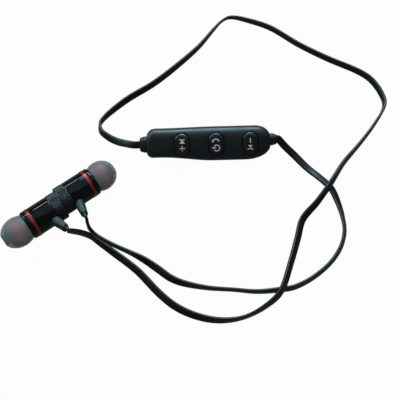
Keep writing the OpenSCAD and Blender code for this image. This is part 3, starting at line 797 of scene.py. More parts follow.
# The cutter of a half's hollow reaches this far past the parting
HOLLOW_PAST = 0.5 * MM
BUTTON_WIDTH, BUTTON_LENGTH, BUTTON_GAP = 6.1 * MM, 9.3 * MM, 0.3 * MM
BUTTON_STRAIGHT = BUTTON_LENGTH - BUTTON_WIDTH
BUTTON_ROW_X, BUTTON_PITCH = 3.1 * MM, 14.1 * MM
BUTTON_X = [BUTTON_ROW_X + BUTTON_PITCH * k for k in (-1, 0, 1)]
WELL_BOTTOM, WELL_RIM, RIM_STEPS = 1.5 * MM, 0.22 * MM, 6
# The board lies on three posts, which keep clear of the wall where the box is narrow
BOARD_FROM, BOARD_TO = 2.75 * MM - BOX_LENGTH / 2, BOX_LENGTH / 2 - 5.75 * MM
BOARD_BOTTOM = -0.6 * MM
POST_INSET, POST_R, POST_ROOM, POST_ROOT = 1.2 * MM, 0.8 * MM, 0.4 * MM, 0.3 * MM
POST_Y = BOX_NARROW - BOX_FAR + BOX_FAR_SWELL - WALL - POST_ROOM - POST_R
MICROPHONE_INSET, MICROPHONE_HOLE_R = 3 * MM, 0.5 * MM
SOCKET_WIDTH, SOCKET_BACK_Y, SOCKET_BOTTOM = 7.4 * MM, 0.7 * MM, -3.1 * MM
SOCKET_ROOM = 0.25 * MM
# Glands: end of the box, place across it and width
GLANDS = {"left": (-1, 0.0, 6.8 * MM), "right": (1, RIGHT_GLAND_Y, 5.1 * MM)}
NECK_HEIGHT, NECK_INSET, NECK_ROOM = 2.8 * MM, 1.5 * MM, 0.1 * MM
SLOT_REACH = 2.4 * MM
# Cross-sections along the left end, the middle and the right end, and points round half of one
LEFT_STATIONS, MIDDLE_STATIONS, RIGHT_STATIONS = 10, 26, 24
ARC_POINTS = 96
print("board length:", round((BOARD_TO - BOARD_FROM) / MM, 1), "mm")

# %% Shells


def box_stations():
    """Distances from the left end, closer together at the rounded ends."""
    left_run, right_run = LEFT_FAR[0], RIGHT_NEAR[0]
    middle_run = BOX_LENGTH - right_run - left_run
    left = [left_run * (1 - math.cos(math.pi / 2 * k / LEFT_STATIONS)) for k in range(LEFT_STATIONS)]
    middle = [left_run + middle_run * k / MIDDLE_STATIONS for k in range(MIDDLE_STATIONS)]
    closing = [1 - k / RIGHT_STATIONS for k in range(RIGHT_STATIONS + 1)]
    right = [BOX_LENGTH - right_run * (1 - math.cos(math.pi / 2 * share)) for share in closing]
    return left + middle + right


def half_shell(name, upper, depth, level, bottom):
    """Solid half of the box, above or below a level, drawn in by a depth on all sides and at both ends."""
    rings = []
    turn = 1 if upper else -1
    for station in box_stations():
        d = depth + station * (BOX_LENGTH - 2 * depth) / BOX_LENGTH
        far, near, tall = [side - depth for side in box_sides(d)]
        edge = level + turn * SEAM_RISE
        tilt = math.copysign(math.asin((abs(edge) / tall) ** (SQUARENESS / 2)), edge)
        first, last = (tilt, math.pi - tilt) if upper else (math.pi - tilt, math.tau + tilt)
        ring = []
        for k in range(ARC_POINTS + 1):
            y, z = section_point(far, near, tall, first + (last - first) * k / ARC_POINTS)
            ring.append(Vector((y, max(z, bottom))))
        lip = [Vector((ring[e].x - math.copysign(SEAM_DEPTH, ring[e].x), level)) for e in (0, -1)]
        ring = [lip[0]] + ring + [lip[1]]
        rings.append([box_place @ Vector((d - BOX_LENGTH / 2, p.x, p.y)) for p in ring])
    return skin(name, rings)


def capsule_ring(x, radius, height, drop=0.0):
    """Capsule round a place along the box, each point dropped below the height of a surface there."""
    outline = [(x + px, py) for px, py in capsule(radius, BUTTON_STRAIGHT)]
    return [box_place @ Vector((px, py, height(px, py) - drop)) for px, py in outline]


def well_cutter(name, x):
    """Cutter of a button well whose mouth is flared to a rounded rim on the box's face."""
    mouth = BUTTON_WIDTH / 2 + BUTTON_GAP
    rings = [capsule_ring(x, mouth, lambda px, py: WELL_BOTTOM)]
    for out, down in quarter_round(RIM_STEPS):
        rings.append(capsule_ring(x, mouth + WELL_RIM * out, face_height, WELL_RIM * down))
    rings.append(capsule_ring(x, mouth + WELL_RIM + BUTTON_GAP / 4, lambda px, py: BOX_HEIGHT))
    return skin(name, rings)


def gland_slot(side):
    sign, y, width = GLANDS[side]
    outline = capsule(NECK_HEIGHT / 2 + NECK_ROOM, width - NECK_INSET - NECK_HEIGHT)
    reach_x = (BOX_LENGTH / 2 - SLOT_REACH, BOX_LENGTH / 2 + SLOT_REACH)
    rings = [[box_place @ Vector((sign * x, y + py, pz)) for pz, py in outline] for x in reach_x]
    return skin(side + "_slot", rings)


def socket_pocket():
    low = (BOARD_FROM - SOCKET_ROOM, -BOX_WIDTH, SOCKET_BOTTOM)
    high = (BOARD_FROM + SOCKET_WIDTH + SOCKET_ROOM, SOCKET_BACK_Y + SOCKET_ROOM, BOX_HEIGHT)
    return block("socket_pocket", low, high, box_place)


def add_shells():
    upper = half_shell("upper_shell_skin", True, 0, PARTING, -BOX_HEIGHT)
    hollow = half_shell("hollow", True, WALL, PARTING - HOLLOW_PAST, -BOX_HEIGHT)
    wells = [well_cutter("well", x) for x in BUTTON_X]
    cutters = [hollow, *wells, gland_slot("left"), gland_slot("right")]
    carve(upper, *[("DIFFERENCE", cutter) for cutter in cutters])
    dress(upper, satin_black, "control_box", "box_plastic", "upper_shell")

    lower = half_shell("lower_shell_skin", False, 0, PARTING, UNDERSIDE)
    hollow = half_shell("hollow", False, WALL, PARTING + HOLLOW_PAST, FLOOR_INSIDE)
    hole_place = box_place @ Matrix.Translation((BOARD_TO - MICROPHONE_INSET, 0, 0))
    hole = rod("microphone_hole", MICROPHONE_HOLE_R, -BOX_HEIGHT, 0, hole_place, 24)
    cutters = [hollow, gland_slot("left"), gland_slot("right"), socket_pocket(), hole]
    posts = []
    left_x, right_x = BOARD_FROM + POST_INSET, BOARD_TO - POST_INSET
    for x, y in ((left_x, POST_Y), (right_x, POST_Y), (right_x, -POST_Y)):
        place = box_place @ Matrix.Translation((x, y, 0))
        posts.append(rod("post", POST_R, FLOOR_INSIDE - POST_ROOT, BOARD_BOTTOM, place, 24))
    carve(lower, *[("DIFFERENCE", cutter) for cutter in cutters], *[("UNION", post) for post in posts])
    dress(lower, satin_black, "control_box", "box_plastic", "lower_shell")


add_shells()

# %% [markdown]
# ## Buttons and their marks
# A button is a capsule that stands a little proud of the face, with a soft edge all round. Inside it has a
# flange that keeps it in the shell and a stem that meets its switch. The white marks are pad printed, so each
# is a very thin plate that follows the curved top. They are the usual signs: next and plus, a handset and
# power, minus and previous.

# %% Buttons
EDGE_RUN, EDGE_DROP, EDGE_STEPS = 1.3 * MM, 0.55 * MM, 7
# Further rings on the top, as shares of half the width
TOP_RINGS = (0.5, 0.38, 0.25, 0.12, 0.03)
FLANGE_ROOM, FLANGE_THICKNESS = 0.2 * MM, 0.6 * MM
FLANGE_TOP = BOX_HEIGHT / 2 - WALL - FLANGE_ROOM
FLANGE_BOTTOM = FLANGE_TOP - FLANGE_THICKNESS
# The flange reaches past the button along the box and has this half width across it
FLANGE_REACH, FLANGE_HALF = 0.8 * MM, 2.6 * MM
PLUNGER_TOP, BUTTON_STEM_R = 1.7 * MM, 1.3 * MM
# Cap and stem lap into the flange, so that the three join
CAP_LAP, STEM_LAP = 0.05 * MM, 0.1 * MM
KEYS = ["next", "power", "previous"]


def button_top(x, y):
    return face_height(x, y, BUTTON_PROUD)


def add_button(key, x):
    half = BUTTON_WIDTH / 2
    rings = [capsule_ring(x, half, lambda px, py: FLANGE_TOP - CAP_LAP)]
    for drawn_in, down in quarter_round(EDGE_STEPS):
        rings.append(capsule_ring(x, half - EDGE_RUN * drawn_in, button_top, EDGE_DROP * down))
    rings += [capsule_ring(x, half * share, button_top) for share in TOP_RINGS]
    cap = skin(key + "_button_cap", rings)
    low = (x - half - FLANGE_REACH, -FLANGE_HALF, FLANGE_BOTTOM)
    high = (x + half + FLANGE_REACH, FLANGE_HALF, FLANGE_TOP)
    flange = block("flange", low, high, box_place)
    stem_place = box_place @ Matrix.Translation((x, 0, 0))
    stem = rod("stem", BUTTON_STEM_R, PLUNGER_TOP, FLANGE_BOTTOM + STEM_LAP, stem_place)
    carve(cap, ("UNION", flange), ("UNION", stem))
    dress(cap, button_black, key + "_key", "button_plastic", key + "_button")


for key, x in zip(KEYS, BUTTON_X):
    add_button(key, x)

# %% Printed marks
MARK_PROUD, MARK_SUNK = 0.02 * MM, 0.03 * MM


def rectangle(x0, y0, x1, y1):
    return [(x0, y0), (x1, y0), (x1, y1), (x0, y1)]


def band(radius, half_thick, start, end, steps=20):
    """Part of a flat ring between two angles in degrees."""
    angles = [math.radians(start + (end - start) * k / steps) for k in range(steps + 1)]
    outer, inner = radius + half_thick, radius - half_thick
    points = [(outer * math.cos(a), outer * math.sin(a)) for a in angles]
    points += [(inner * math.cos(a), inner * math.sin(a)) for a in reversed(angles)]
    return points


# Each mark in millimetres: its middle on the button, then its outlines round that middle
MARKS = {
    "next": [
        ((0.05, 1.48), [rectangle(-1.12, 0.52, 1.08, 0.9), [(0, 0.75), (-1.12, -0.9), (1.12, -0.9)]]),
        ((0.05, -1.4), [rectangle(-1.15, -0.18, 1.15, 0.18), rectangle(-0.18, -1.1, 0.18, 1.1)]),
    ],
    "power": [
        ((-0.2, 0.95), [
            band(1.25, 0.22, 20, 165), [(-1.55, 0.5), (-1.0, 0.65), (-0.75, 0.05), (-1.5, -0.15)],
            [(0.95, 0.75), (1.5, 0.5), (1.45, 0.1), (0.8, 0.3)],
        ]),
        ((0.16, -1.52), [band(1.2, 0.2, 215, 505), rectangle(-2.0, -0.1, -0.25, 0.28)]),
    ],
    "previous": [
        ((-0.08, 1.27), [rectangle(-0.2, -1.0, 0.2, 1.0)]),
        ((-0.05, -1.52), [[(0.85, 0.88), (-0.85, 0.88), (0, -0.35)], rectangle(-1.12, -0.88, 1.12, -0.5)]),
    ],
}


def add_mark(name, key, x, middle, outlines):
    """One mark as a thin plate of one or more outlines on a button's top."""
    parts = []
    for outline in outlines:
        spots = [(x + (middle[0] + px) * MM, (middle[1] + py) * MM) for px, py in outline]
        rings = [
            [box_place @ Vector((sx, sy, button_top(sx, sy) + lift)) for sx, sy in spots]
            for lift in (-MARK_SUNK, MARK_PROUD)
        ]
        parts.append(skin(name, rings))
    mark, *rest = parts
    carve(mark, *[("UNION", part) for part in rest])
    mark.name = name
    dress(mark, print_white, key + "_key", "button_plastic")


for key, x in zip(KEYS, BUTTON_X):
    for place_name, (middle, outlines) in zip(("far", "near"), MARKS[key]):
        add_mark(key + "_" + place_name + "_mark", key, x, middle, outlines)

# %% [markdown]
# ## Glands
# A gland is the rubber plug through which the cord enters the box. Its neck fills a hole in the shell, a
# flange inside holds it, and outside it steps down towards the cord, so that the cord can bend without a
# sharp edge.

# %% Glands
# Rows in millimetres: distance from the end of the box, height, and width against the gland's full width
GLAND_PROFILE = [
    (-2.05, 3.6, -0.7), (-1.25, 3.6, -0.7), (-1.25, 2.8, -1.5), (0.0, 2.8, -1.5), (0.0, 4.15, -0.25),
    (0.08, 4.32, -0.08), (0.2, 4.4, 0.0), (1.1, 4.4, 0.0), (1.26, 4.33, -0.07), (1.36, 4.15, -0.25),
    (1.4, 3.9, -0.5), (2.15, 3.8, -0.6), (2.5, 3.55, -0.95), (2.75, 3.15, -1.5), (2.9, 2.7, -2.1),
]


def add_gland(side):
    sign, y, width = GLANDS[side]
    rings = []
    for x, height, wider in GLAND_PROFILE:
        outline = capsule(height / 2 * MM, width + wider * MM - height * MM)
        rings.append([
            box_place @ Vector((sign * (BOX_LENGTH / 2 + x * MM), y + py, pz)) for pz, py in outline
        ])
    piece = skin(side + "_gland_skin", rings)
    dress(piece, gland_black, "control_box", "cord_rubber", side + "_gland")


for side in GLANDS:
    add_gland(side)

# %% [markdown]
# ## Metal pieces of a bud
# Barrel, ring, front cap and rear collar are turned on a lathe. Each is one profile swung round the bud's
# axis, with a small rounding on its outer edges, because a perfectly sharp edge never catches light. The
# collars meet on a slightly raised face, which leaves a fine dark groove between the two buds.

# %% Profiles of the turned pieces
# All in millimetres. Places along a bud count from the back of its collar, half the gap away from the joint
OUTER_R, RING_R, TUBE_R, SPIGOT_R, INNER_R = BARREL_R / MM, 6.0, 5.15, 5.1, 4.3
COLLAR_TO, BARREL_LENGTH, RING_WIDTH, CAP_LENGTH, NOZZLE_LENGTH = 4.0, 8.4, 1.3, 2.0, 5.0
BARREL_FROM = COLLAR_TO + 0.25
BARREL_TO = BARREL_FROM + BARREL_LENGTH
RING_TO = BARREL_TO + RING_WIDTH
CAP_TO = RING_TO + CAP_LENGTH
NOZZLE_TO = CAP_TO + NOZZLE_LENGTH
CAP_SPIGOT_FROM, FUNNEL_FROM, FUNNEL_TO = BARREL_TO - 0.8, CAP_TO - 1.6, CAP_TO - 1.1
NOZZLE_R, NOZZLE_BORE_R, NOZZLE_END_R = 2.6, 1.9, 2.45
RIB_R, RIB_FROM, RIB_FULL, RIB_TO = 2.95, NOZZLE_TO - 1.65, NOZZLE_TO - 1.3, NOZZLE_TO - 0.85
# Raised face and groove where the collars meet, bed of the knurl, and pocket of the coupling magnet
FACE_R, FACE_AT, GROOVE_R, GROOVE_AT = 5.3, -0.09, 5.4, 0.12
BED_R, BED_FROM, BED_TO, BED_SLOPE = 5.85, 0.4, 3.75, 0.05
POCKET_R, POCKET_FROM, POCKET_TO = 4.05, 0.6, 2.7
COLLAR_NECK_R, COLLAR_SPIGOT_TO = 5.45, BARREL_FROM + 0.2
# A ring of points needs some radius, also on the axis
AXIS_R = 0.0001

# Material, slot and corners of each profile: radius, place and rounding
TURNED_PIECES = {
    "barrel": (gloss_lacquer, "gloss_black", [
        (TUBE_R, BARREL_FROM, 0), (OUTER_R, BARREL_FROM, 0.3),
        (OUTER_R, BARREL_TO, 0.12), (TUBE_R, BARREL_TO, 0),
    ]),
    "ring": (red_anodised, "red_ring", [
        (TUBE_R, BARREL_TO, 0), (RING_R, BARREL_TO, 0.16),
        (RING_R, RING_TO, 0.16), (TUBE_R, RING_TO, 0),
    ]),
    "front_cap": (gloss_lacquer, "gloss_black", [
        (INNER_R, CAP_SPIGOT_FROM, 0), (SPIGOT_R, CAP_SPIGOT_FROM, 0), (SPIGOT_R, RING_TO, 0),
        (OUTER_R, RING_TO, 0.1), (OUTER_R, CAP_TO, 0.9), (NOZZLE_R, CAP_TO, 0.1),
        (NOZZLE_R, RIB_FROM, 0.1), (RIB_R, RIB_FULL, 0.15), (RIB_R, RIB_TO, 0.2),
        (NOZZLE_END_R, NOZZLE_TO, 0.2), (NOZZLE_BORE_R, NOZZLE_TO, 0),
        (NOZZLE_BORE_R, FUNNEL_TO, 0), (INNER_R, FUNNEL_FROM, 0),
    ]),
    "rear_collar": (collar_black, "collar_metal", [
        (AXIS_R, FACE_AT, 0), (FACE_R, FACE_AT, 0), (GROOVE_R, GROOVE_AT, 0), (OUTER_R, GROOVE_AT, 0.15),
        (OUTER_R, BED_FROM - BED_SLOPE, 0.05), (BED_R, BED_FROM, 0),
        (BED_R, BED_TO, 0), (OUTER_R, BED_TO + BED_SLOPE, 0.05),
        (OUTER_R, COLLAR_TO, 0.12), (COLLAR_NECK_R, COLLAR_TO, 0), (COLLAR_NECK_R, BARREL_FROM, 0),
        (SPIGOT_R, BARREL_FROM, 0), (SPIGOT_R, COLLAR_SPIGOT_TO, 0), (INNER_R, COLLAR_SPIGOT_TO, 0),
        (INNER_R, POCKET_TO, 0), (POCKET_R, POCKET_TO, 0),
        (POCKET_R, POCKET_FROM, 0), (AXIS_R, POCKET_FROM, 0),
    ]),
}
print("metal length of a bud:", round(NOZZLE_TO - FACE_AT, 2), "mm")

# %% Turned pieces
BOOT_HOLE_R, BOOT_HOLE_REACH = 1.3 * MM, 12 * MM


def boot_frame(side):
    """Axes of a bud's boot: local Z points out of the barrel along the boot, local X across the flat cord."""
    return (
        bud_place[side]
        @ Matrix.Translation((0, 0, BOOT_Z))
        @ Matrix.Rotation(-math.pi / 2 - BOOT_TILT, 4, "X")
    )


def add_turned_pieces(side):
    for part, (material, slot, corners) in TURNED_PIECES.items():
        profile = fillet([(r * MM, z * MM, rounding * MM) for r, z, rounding in corners])
        piece = turned(side + "_" + part + "_turned", profile, bud_place[side])
        if part == "barrel":
            hole = rod("boot_hole", BOOT_HOLE_R, 0, BOOT_HOLE_REACH, boot_frame(side))
            carve(piece, ("DIFFERENCE", hole))
        dress(piece, material, side + "_bud", slot, side + "_" + part)


for side in bud_place:
    add_turned_pieces(side)

# %% [markdown]
# ## Knurl of the collar
# The rear collar is rolled with a diamond knurl for grip. It is hundreds of equal small pyramids in staggered
# rows, so a small geometry node tree places them: points on a cylinder, one pyramid on each. A stored value
# from base to crest lets the material darken the feet and lighten the crests: painted shade and painted
# highlight.

# %% Tree helpers


def feed(tree, values, node):
    """Fills a node's sockets in order, with plain numbers or with links, and returns its first output."""
    for value, socket in zip(values, node.inputs):
        if isinstance(value, (int, float)):
            socket.default_value = value
        else:
            tree.links.new(value, socket)
    return node.outputs[0]


def math_node(tree, operation, *values):
    return feed(tree, values, add_node(tree, "ShaderNodeMath", operation=operation))


def combine(tree, x, y, z):
    return feed(tree, (x, y, z), add_node(tree, "ShaderNodeCombineXYZ"))


def new_tree(name, numbers):
    """An empty geometry node tree with named number inputs, a material input and its two end nodes."""
    tree = bpy.data.node_groups.new(name, "GeometryNodeTree")
    tree.interface.new_socket("Geometry", in_out="INPUT", socket_type="NodeSocketGeometry")
    for label, kind in numbers:
        tree.interface.new_socket(label, in_out="INPUT", socket_type=kind)
    tree.interface.new_socket("Material", in_out="INPUT", socket_type="NodeSocketMaterial")
    tree.interface.new_socket("Geometry", in_out="OUTPUT", socket_type="NodeSocketGeometry")
    return tree, add_node(tree, "NodeGroupInput"), add_node(tree, "NodeGroupOutput")


def end_tree(tree, instances, given, result):
    """Makes a tree's instances real, gives them the material and hands them over."""
    real = add_node(tree, "GeometryNodeRealizeInstances")
    paint = add_node(tree, "GeometryNodeSetMaterial")
    link(tree, instances, 0, real, 0)
    link(tree, real, 0, paint, "Geometry")
    link(tree, given, "Material", paint, "Material")
    link(tree, paint, 0, result, 0)
    return tree


def grown(name, tree, values, place):
    """A plain mesh object with the result of a geometry node tree, put in place."""
    seed = bpy.data.objects.new(name + "_seed", bpy.data.meshes.new(name + "_seed"))
    bpy.context.scene.collection.objects.link(seed)
    step = seed.modifiers.new("tree", "NODES")
    step.node_group = tree
    for item in tree.interface.items_tree:
        if item.in_out == "INPUT" and item.name in values:
            step[item.identifier] = values[item.name]
    graph = bpy.context.evaluated_depsgraph_get()
    mesh = bpy.data.meshes.new_from_object(seed.evaluated_get(graph))
    bpy.data.objects.remove(seed)
    mesh.transform(place)
    piece = bpy.data.objects.new(name, mesh)
    bpy.context.scene.collection.objects.link(piece)
    return piece


print("tree helpers ready")

# %% Knurl tree
# Corner radius of a pyramid's foot as a share of the pitch: just over half, so that neighbours meet
FOOT_SHARE = 0.52


def knurl_tree():
    tree, given, result = new_tree("diamond_knurl", [
        ("Columns", "NodeSocketInt"), ("Rows", "NodeSocketInt"), ("Radius", "NodeSocketFloat"),
        ("First Row", "NodeSocketFloat"), ("Pitch", "NodeSocketFloat"), ("Crest", "NodeSocketFloat"),
    ])
    columns, radius, pitch = given.outputs["Columns"], given.outputs["Radius"], given.outputs["Pitch"]
    index = add_node(tree, "GeometryNodeInputIndex").outputs[0]
    row = math_node(tree, "FLOOR", math_node(tree, "DIVIDE", index, columns))
    stagger = math_node(tree, "MULTIPLY", math_node(tree, "MODULO", row, 2), 0.5)
    column = math_node(tree, "ADD", math_node(tree, "MODULO", index, columns), stagger)
    angle = math_node(tree, "DIVIDE", math_node(tree, "MULTIPLY", column, math.tau), columns)
    rise = math_node(tree, "MULTIPLY", row, math_node(tree, "MULTIPLY", pitch, 0.5))
    x = math_node(tree, "MULTIPLY", radius, math_node(tree, "COSINE", angle))
    y = math_node(tree, "MULTIPLY", radius, math_node(tree, "SINE", angle))
    place = combine(tree, x, y, math_node(tree, "ADD", given.outputs["First Row"], rise))
    points = add_node(tree, "GeometryNodePoints")
    tree.links.new(math_node(tree, "MULTIPLY", columns, given.outputs["Rows"]), points.inputs["Count"])
    tree.links.new(place, points.inputs["Position"])
    pyramid = add_node(tree, "GeometryNodeMeshCone", {"Vertices": 4, "Radius Top": 0.0})
    tree.links.new(math_node(tree, "MULTIPLY", pitch, FOOT_SHARE), pyramid.inputs["Radius Bottom"])
    link(tree, given, "Crest", pyramid, "Depth")
    lift = add_node(tree, "ShaderNodeSeparateXYZ")
    link(tree, add_node(tree, "GeometryNodeInputPosition"), 0, lift, 0)
    # The stored share from foot to crest drives the painted shade and painted highlight of the knurl's finish.
    share = math_node(tree, "DIVIDE", lift.outputs["Z"], given.outputs["Crest"])
    store = add_node(
        tree, "GeometryNodeStoreNamedAttribute", {"Name": "crest"}, data_type="FLOAT", domain="POINT")
    link(tree, pyramid, "Mesh", store, "Geometry")
    tree.links.new(share, store.inputs["Value"])
    spread = add_node(tree, "GeometryNodeInstanceOnPoints")
    link(tree, points, 0, spread, "Points")
    link(tree, store, 0, spread, "Instance")
    tree.links.new(combine(tree, 0.0, math.pi / 2, angle), spread.inputs["Rotation"])
    return end_tree(tree, spread, given, result)


# The knurl's finish carries painted shade in its hollows and painted highlight on its crests.
KNURL = {
    "Columns": 42, "Rows": 8, "Radius": (BED_R - 0.01) * MM, "First Row": (BED_FROM + 0.15) * MM,
    "Pitch": 0.87 * MM, "Crest": 0.18 * MM, "Material": knurl_shaded_black,
}
diamond_knurl = knurl_tree()
for side in bud_place:
    piece = grown(side + "_collar_knurl", diamond_knurl, KNURL, bud_place[side])
    dress(piece, knurl_shaded_black, side + "_bud", "collar_metal")

# %% [markdown]
# ## Nozzle mesh
# A fine woven mesh closes the nozzle against ear wax. A second tree lays wires side by side and makes each as
# long as the round opening is there. Two such layers, crossed, and a rim make the mesh.

# %% Wire tree and mesh
WIRES, WIRE_R = 11, 0.055 * MM
MESH_R, MESH_Z = (NOZZLE_BORE_R - 0.05) * MM, (NOZZLE_TO - 0.45) * MM
MESH_RIM_WIDTH, MESH_RIM_HALF, MESH_RIM_ROUND = 0.23 * MM, 0.15 * MM, 0.04 * MM


def wire_tree():
    tree, given, result = new_tree("chord_wires", [
        ("Wires", "NodeSocketInt"), ("Radius", "NodeSocketFloat"), ("Wire Radius", "NodeSocketFloat"),
    ])
    wires, radius = given.outputs["Wires"], given.outputs["Radius"]
    index = add_node(tree, "GeometryNodeInputIndex").outputs[0]
    share = math_node(tree, "DIVIDE", math_node(tree, "ADD", index, 0.5), wires)
    middle = math_node(tree, "SUBTRACT", math_node(tree, "MULTIPLY", share, 2.0), 1.0)
    across_x = math_node(tree, "MULTIPLY", radius, middle)
    whole, part = math_node(tree, "MULTIPLY", radius, radius), math_node(tree, "MULTIPLY", across_x, across_x)
    square = math_node(tree, "SUBTRACT", whole, part)
    chord = math_node(tree, "MULTIPLY", math_node(tree, "SQRT", square), 2.0)
    points = add_node(tree, "GeometryNodePoints")
    tree.links.new(wires, points.inputs["Count"])
    tree.links.new(combine(tree, across_x, 0.0, 0.0), points.inputs["Position"])
    wire = add_node(tree, "GeometryNodeMeshCylinder", {"Vertices": 8, "Depth": 1.0})
    link(tree, given, "Wire Radius", wire, "Radius")
    spread = add_node(tree, "GeometryNodeInstanceOnPoints")
    link(tree, points, 0, spread, "Points")
    link(tree, wire, "Mesh", spread, "Instance")
    spread.inputs["Rotation"].default_value = (math.pi / 2, 0, 0)
    tree.links.new(combine(tree, 1.0, 1.0, chord), spread.inputs["Scale"])
    return end_tree(tree, spread, given, result)


chord_wires = wire_tree()
WIRE_VALUES = {"Wires": WIRES, "Radius": MESH_R, "Wire Radius": WIRE_R, "Material": mesh_steel}


def add_mesh(side):
    low, high = MESH_Z - MESH_RIM_HALF, MESH_Z + MESH_RIM_HALF
    inner = MESH_R - MESH_RIM_WIDTH
    corners = [(inner, low), (MESH_R, low), (MESH_R, high), (inner, high)]
    profile = fillet([(r, z, MESH_RIM_ROUND) for r, z in corners])
    rim = turned(side + "_mesh_rim", profile, bud_place[side], 48)
    dress(rim, mesh_steel, side + "_bud", "mesh_steel", side + "_nozzle_mesh")
    for layer, level, turn in (("warp", MESH_Z + WIRE_R, 0), ("weft", MESH_Z - WIRE_R, math.pi / 2)):
        place = bud_place[side] @ Matrix.Translation((0, 0, level)) @ Matrix.Rotation(turn, 4, "Z")
        piece = grown(side + "_mesh_" + layer, chord_wires, WIRE_VALUES, place)
        dress(piece, mesh_steel, side + "_bud", "mesh_steel")


for side in bud_place:
    add_mesh(side)

# %% [markdown]
# ## Cord boots
# The boot is soft rubber, moulded onto the cord. It starts round on the barrel and flattens towards the cord.
# Its root is cut to the barrel's curve, so that it sits on it like a saddle, and a short neck goes through
# the wall.

# %% Boots
BOOT_ROOT_R = 2.25 * MM
BOOT_END = Vector((2.0, 1.4)) * MM
BOOT_START_Z, BOOT_STOP_Z = TUBE_R * MM, BARREL_R + BOOT_LENGTH
# How early the boot gets flat, and how square it gets
BOOT_FLATTEN, BOOT_SQUARE = 0.85, 0.8
BOOT_END_ROUND = 0.3 * MM
BOOT_SEGMENTS, BOOT_STEPS, BOOT_END_STEPS = 64, 20, 5
SADDLE_R, SADDLE_TO = BARREL_R + 0.07 * MM, 16 * MM
BOOT_NECK_R, BOOT_NECK_FROM, BOOT_NECK_TO = 1.25 * MM, 4.75 * MM, 6.6 * MM


def boot_ring(share, draw_in):
    """Outline of the boot at a share of its length, from a circle to a flat rounded end."""
    wide = BOOT_ROOT_R + (BOOT_END.x - BOOT_ROOT_R) * share - draw_in
    thin = BOOT_ROOT_R + (BOOT_END.y - BOOT_ROOT_R) * share ** BOOT_FLATTEN - draw_in
    power = 2 / (2 + BOOT_SQUARE * share)
    points = []
    for k in range(BOOT_SEGMENTS):
        c, s = math.cos(math.tau * k / BOOT_SEGMENTS), math.sin(math.tau * k / BOOT_SEGMENTS)
        points.append((
            wide * math.copysign(abs(c) ** power, c),
            thin * math.copysign(abs(s) ** power, s),
        ))
    return points


def add_boot(side):
    place = boot_frame(side)
    run = BOOT_STOP_Z - BOOT_START_Z
    stops = [(k / BOOT_STEPS, 0.0) for k in range(BOOT_STEPS)]
    for drawn_in, back in quarter_round(BOOT_END_STEPS):
        stops.append((1 - BOOT_END_ROUND * back / run, BOOT_END_ROUND * drawn_in))
    rings = []
    for share, draw_in in stops:
        z = BOOT_START_Z + run * share
        rings.append([place @ Vector((x, y, z)) for x, y in boot_ring(share, draw_in)])
    piece = skin(side + "_boot_skin", rings)
    saddle = rod("saddle", SADDLE_R, 0, SADDLE_TO, bud_place[side], 160)
    neck = rod("neck", BOOT_NECK_R, BOOT_NECK_FROM, BOOT_NECK_TO, place)
    carve(piece, ("DIFFERENCE", saddle), ("UNION", neck))
    dress(piece, boot_grey, side + "_bud", "boot_rubber", side + "_boot")


for side in bud_place:
    add_boot(side)

# %% [markdown]
# ## Ear tips
# An ear tip is moulded from silicone: a thin ball-shaped skirt that folds back round a stem. The stem is of a
# firmer red silicone, and it shows faintly through the grey skirt: a value stored on the skirt's points,
# highest round the middle of the stem, warms its colour there. The skirt is a closed skin with a real wall,
# so it is turned from a profile that runs up the outside and back down the inside.

# %% Ear tips
TIP_R, TIP_WALL = 6.1 * MM, 0.5 * MM
TIP_HOLE_R, STEM_BORE_R, STEM_R = 2.2 * MM, 3.0 * MM, 3.7 * MM
# Heights along a tip count from its back, which stands just off the front cap
TIP_BACK = (CAP_TO + 0.15) * MM
STEM_TO = 6.45 * MM
# The stem's bore closes to a front hole between two heights
STEM_HOLE_R, STEM_CLOSE_FROM, STEM_CLOSE_TO = 2.25 * MM, 5.15 * MM, 5.75 * MM
# In the picture the left tip is a little longer than the right one
TIP_LENGTH = {"left": 10.3 * MM, "right": 9.5 * MM}
TIP_WIDE_SHARE, TIP_REAR_DRAW = 0.36, 0.8 * MM
DOME_ANGLE, LINING_ANGLE, LINING_DROP = math.radians(67.5), math.radians(50), 1.2 * MM
LIP_ROUND, LIP_GAP = 0.12 * MM, 0.05 * MM
REAR_STEPS, DOME_STEPS, LINING_STEPS = 12, 24, 16
GLOW_MIDDLE, GLOW_SPREAD = 0.4, 0.18


def skirt_profile(length):
    """The skirt from its rear edge over the dome to the front hole, and back along its lining."""
    wide = TIP_WIDE_SHARE * length

    def arc(radius, rise, angle):
        return radius * math.cos(angle), wide + rise * math.sin(angle) / math.sin(DOME_ANGLE)

    rear = []
    for k in range(REAR_STEPS):
        t = k / REAR_STEPS
        rear.append((TIP_R - TIP_REAR_DRAW * (1 - t) ** 2, wide * t))
    dome = [arc(TIP_R, length - wide, DOME_ANGLE * k / DOME_STEPS) for k in range(DOME_STEPS + 1)]
    stem_top = STEM_TO + LIP_GAP
    lip = [(TIP_HOLE_R, length - LIP_ROUND), (TIP_HOLE_R, stem_top), (STEM_R, stem_top)]
    lining = []
    for k in range(LINING_STEPS + 1):
        angle = LINING_ANGLE * (1 - k / LINING_STEPS)
        lining.append(arc(TIP_R - TIP_WALL, length - wide - LINING_DROP, angle))
    back = [(r - TIP_WALL, z) for r, z in reversed(rear)]
    return rear + dome + lip + lining + back


def store_glow(skirt, place, length):
    """Stores how strongly the core shows through at each point of a skirt."""
    to_local = place.inverted()
    glow = skirt.data.attributes.new("core_glow", "FLOAT", "POINT")
    for point, value in zip(skirt.data.vertices, glow.data):
        share = (to_local @ point.co).z / length
        value.value = math.exp(-((share - GLOW_MIDDLE) / GLOW_SPREAD) ** 2)


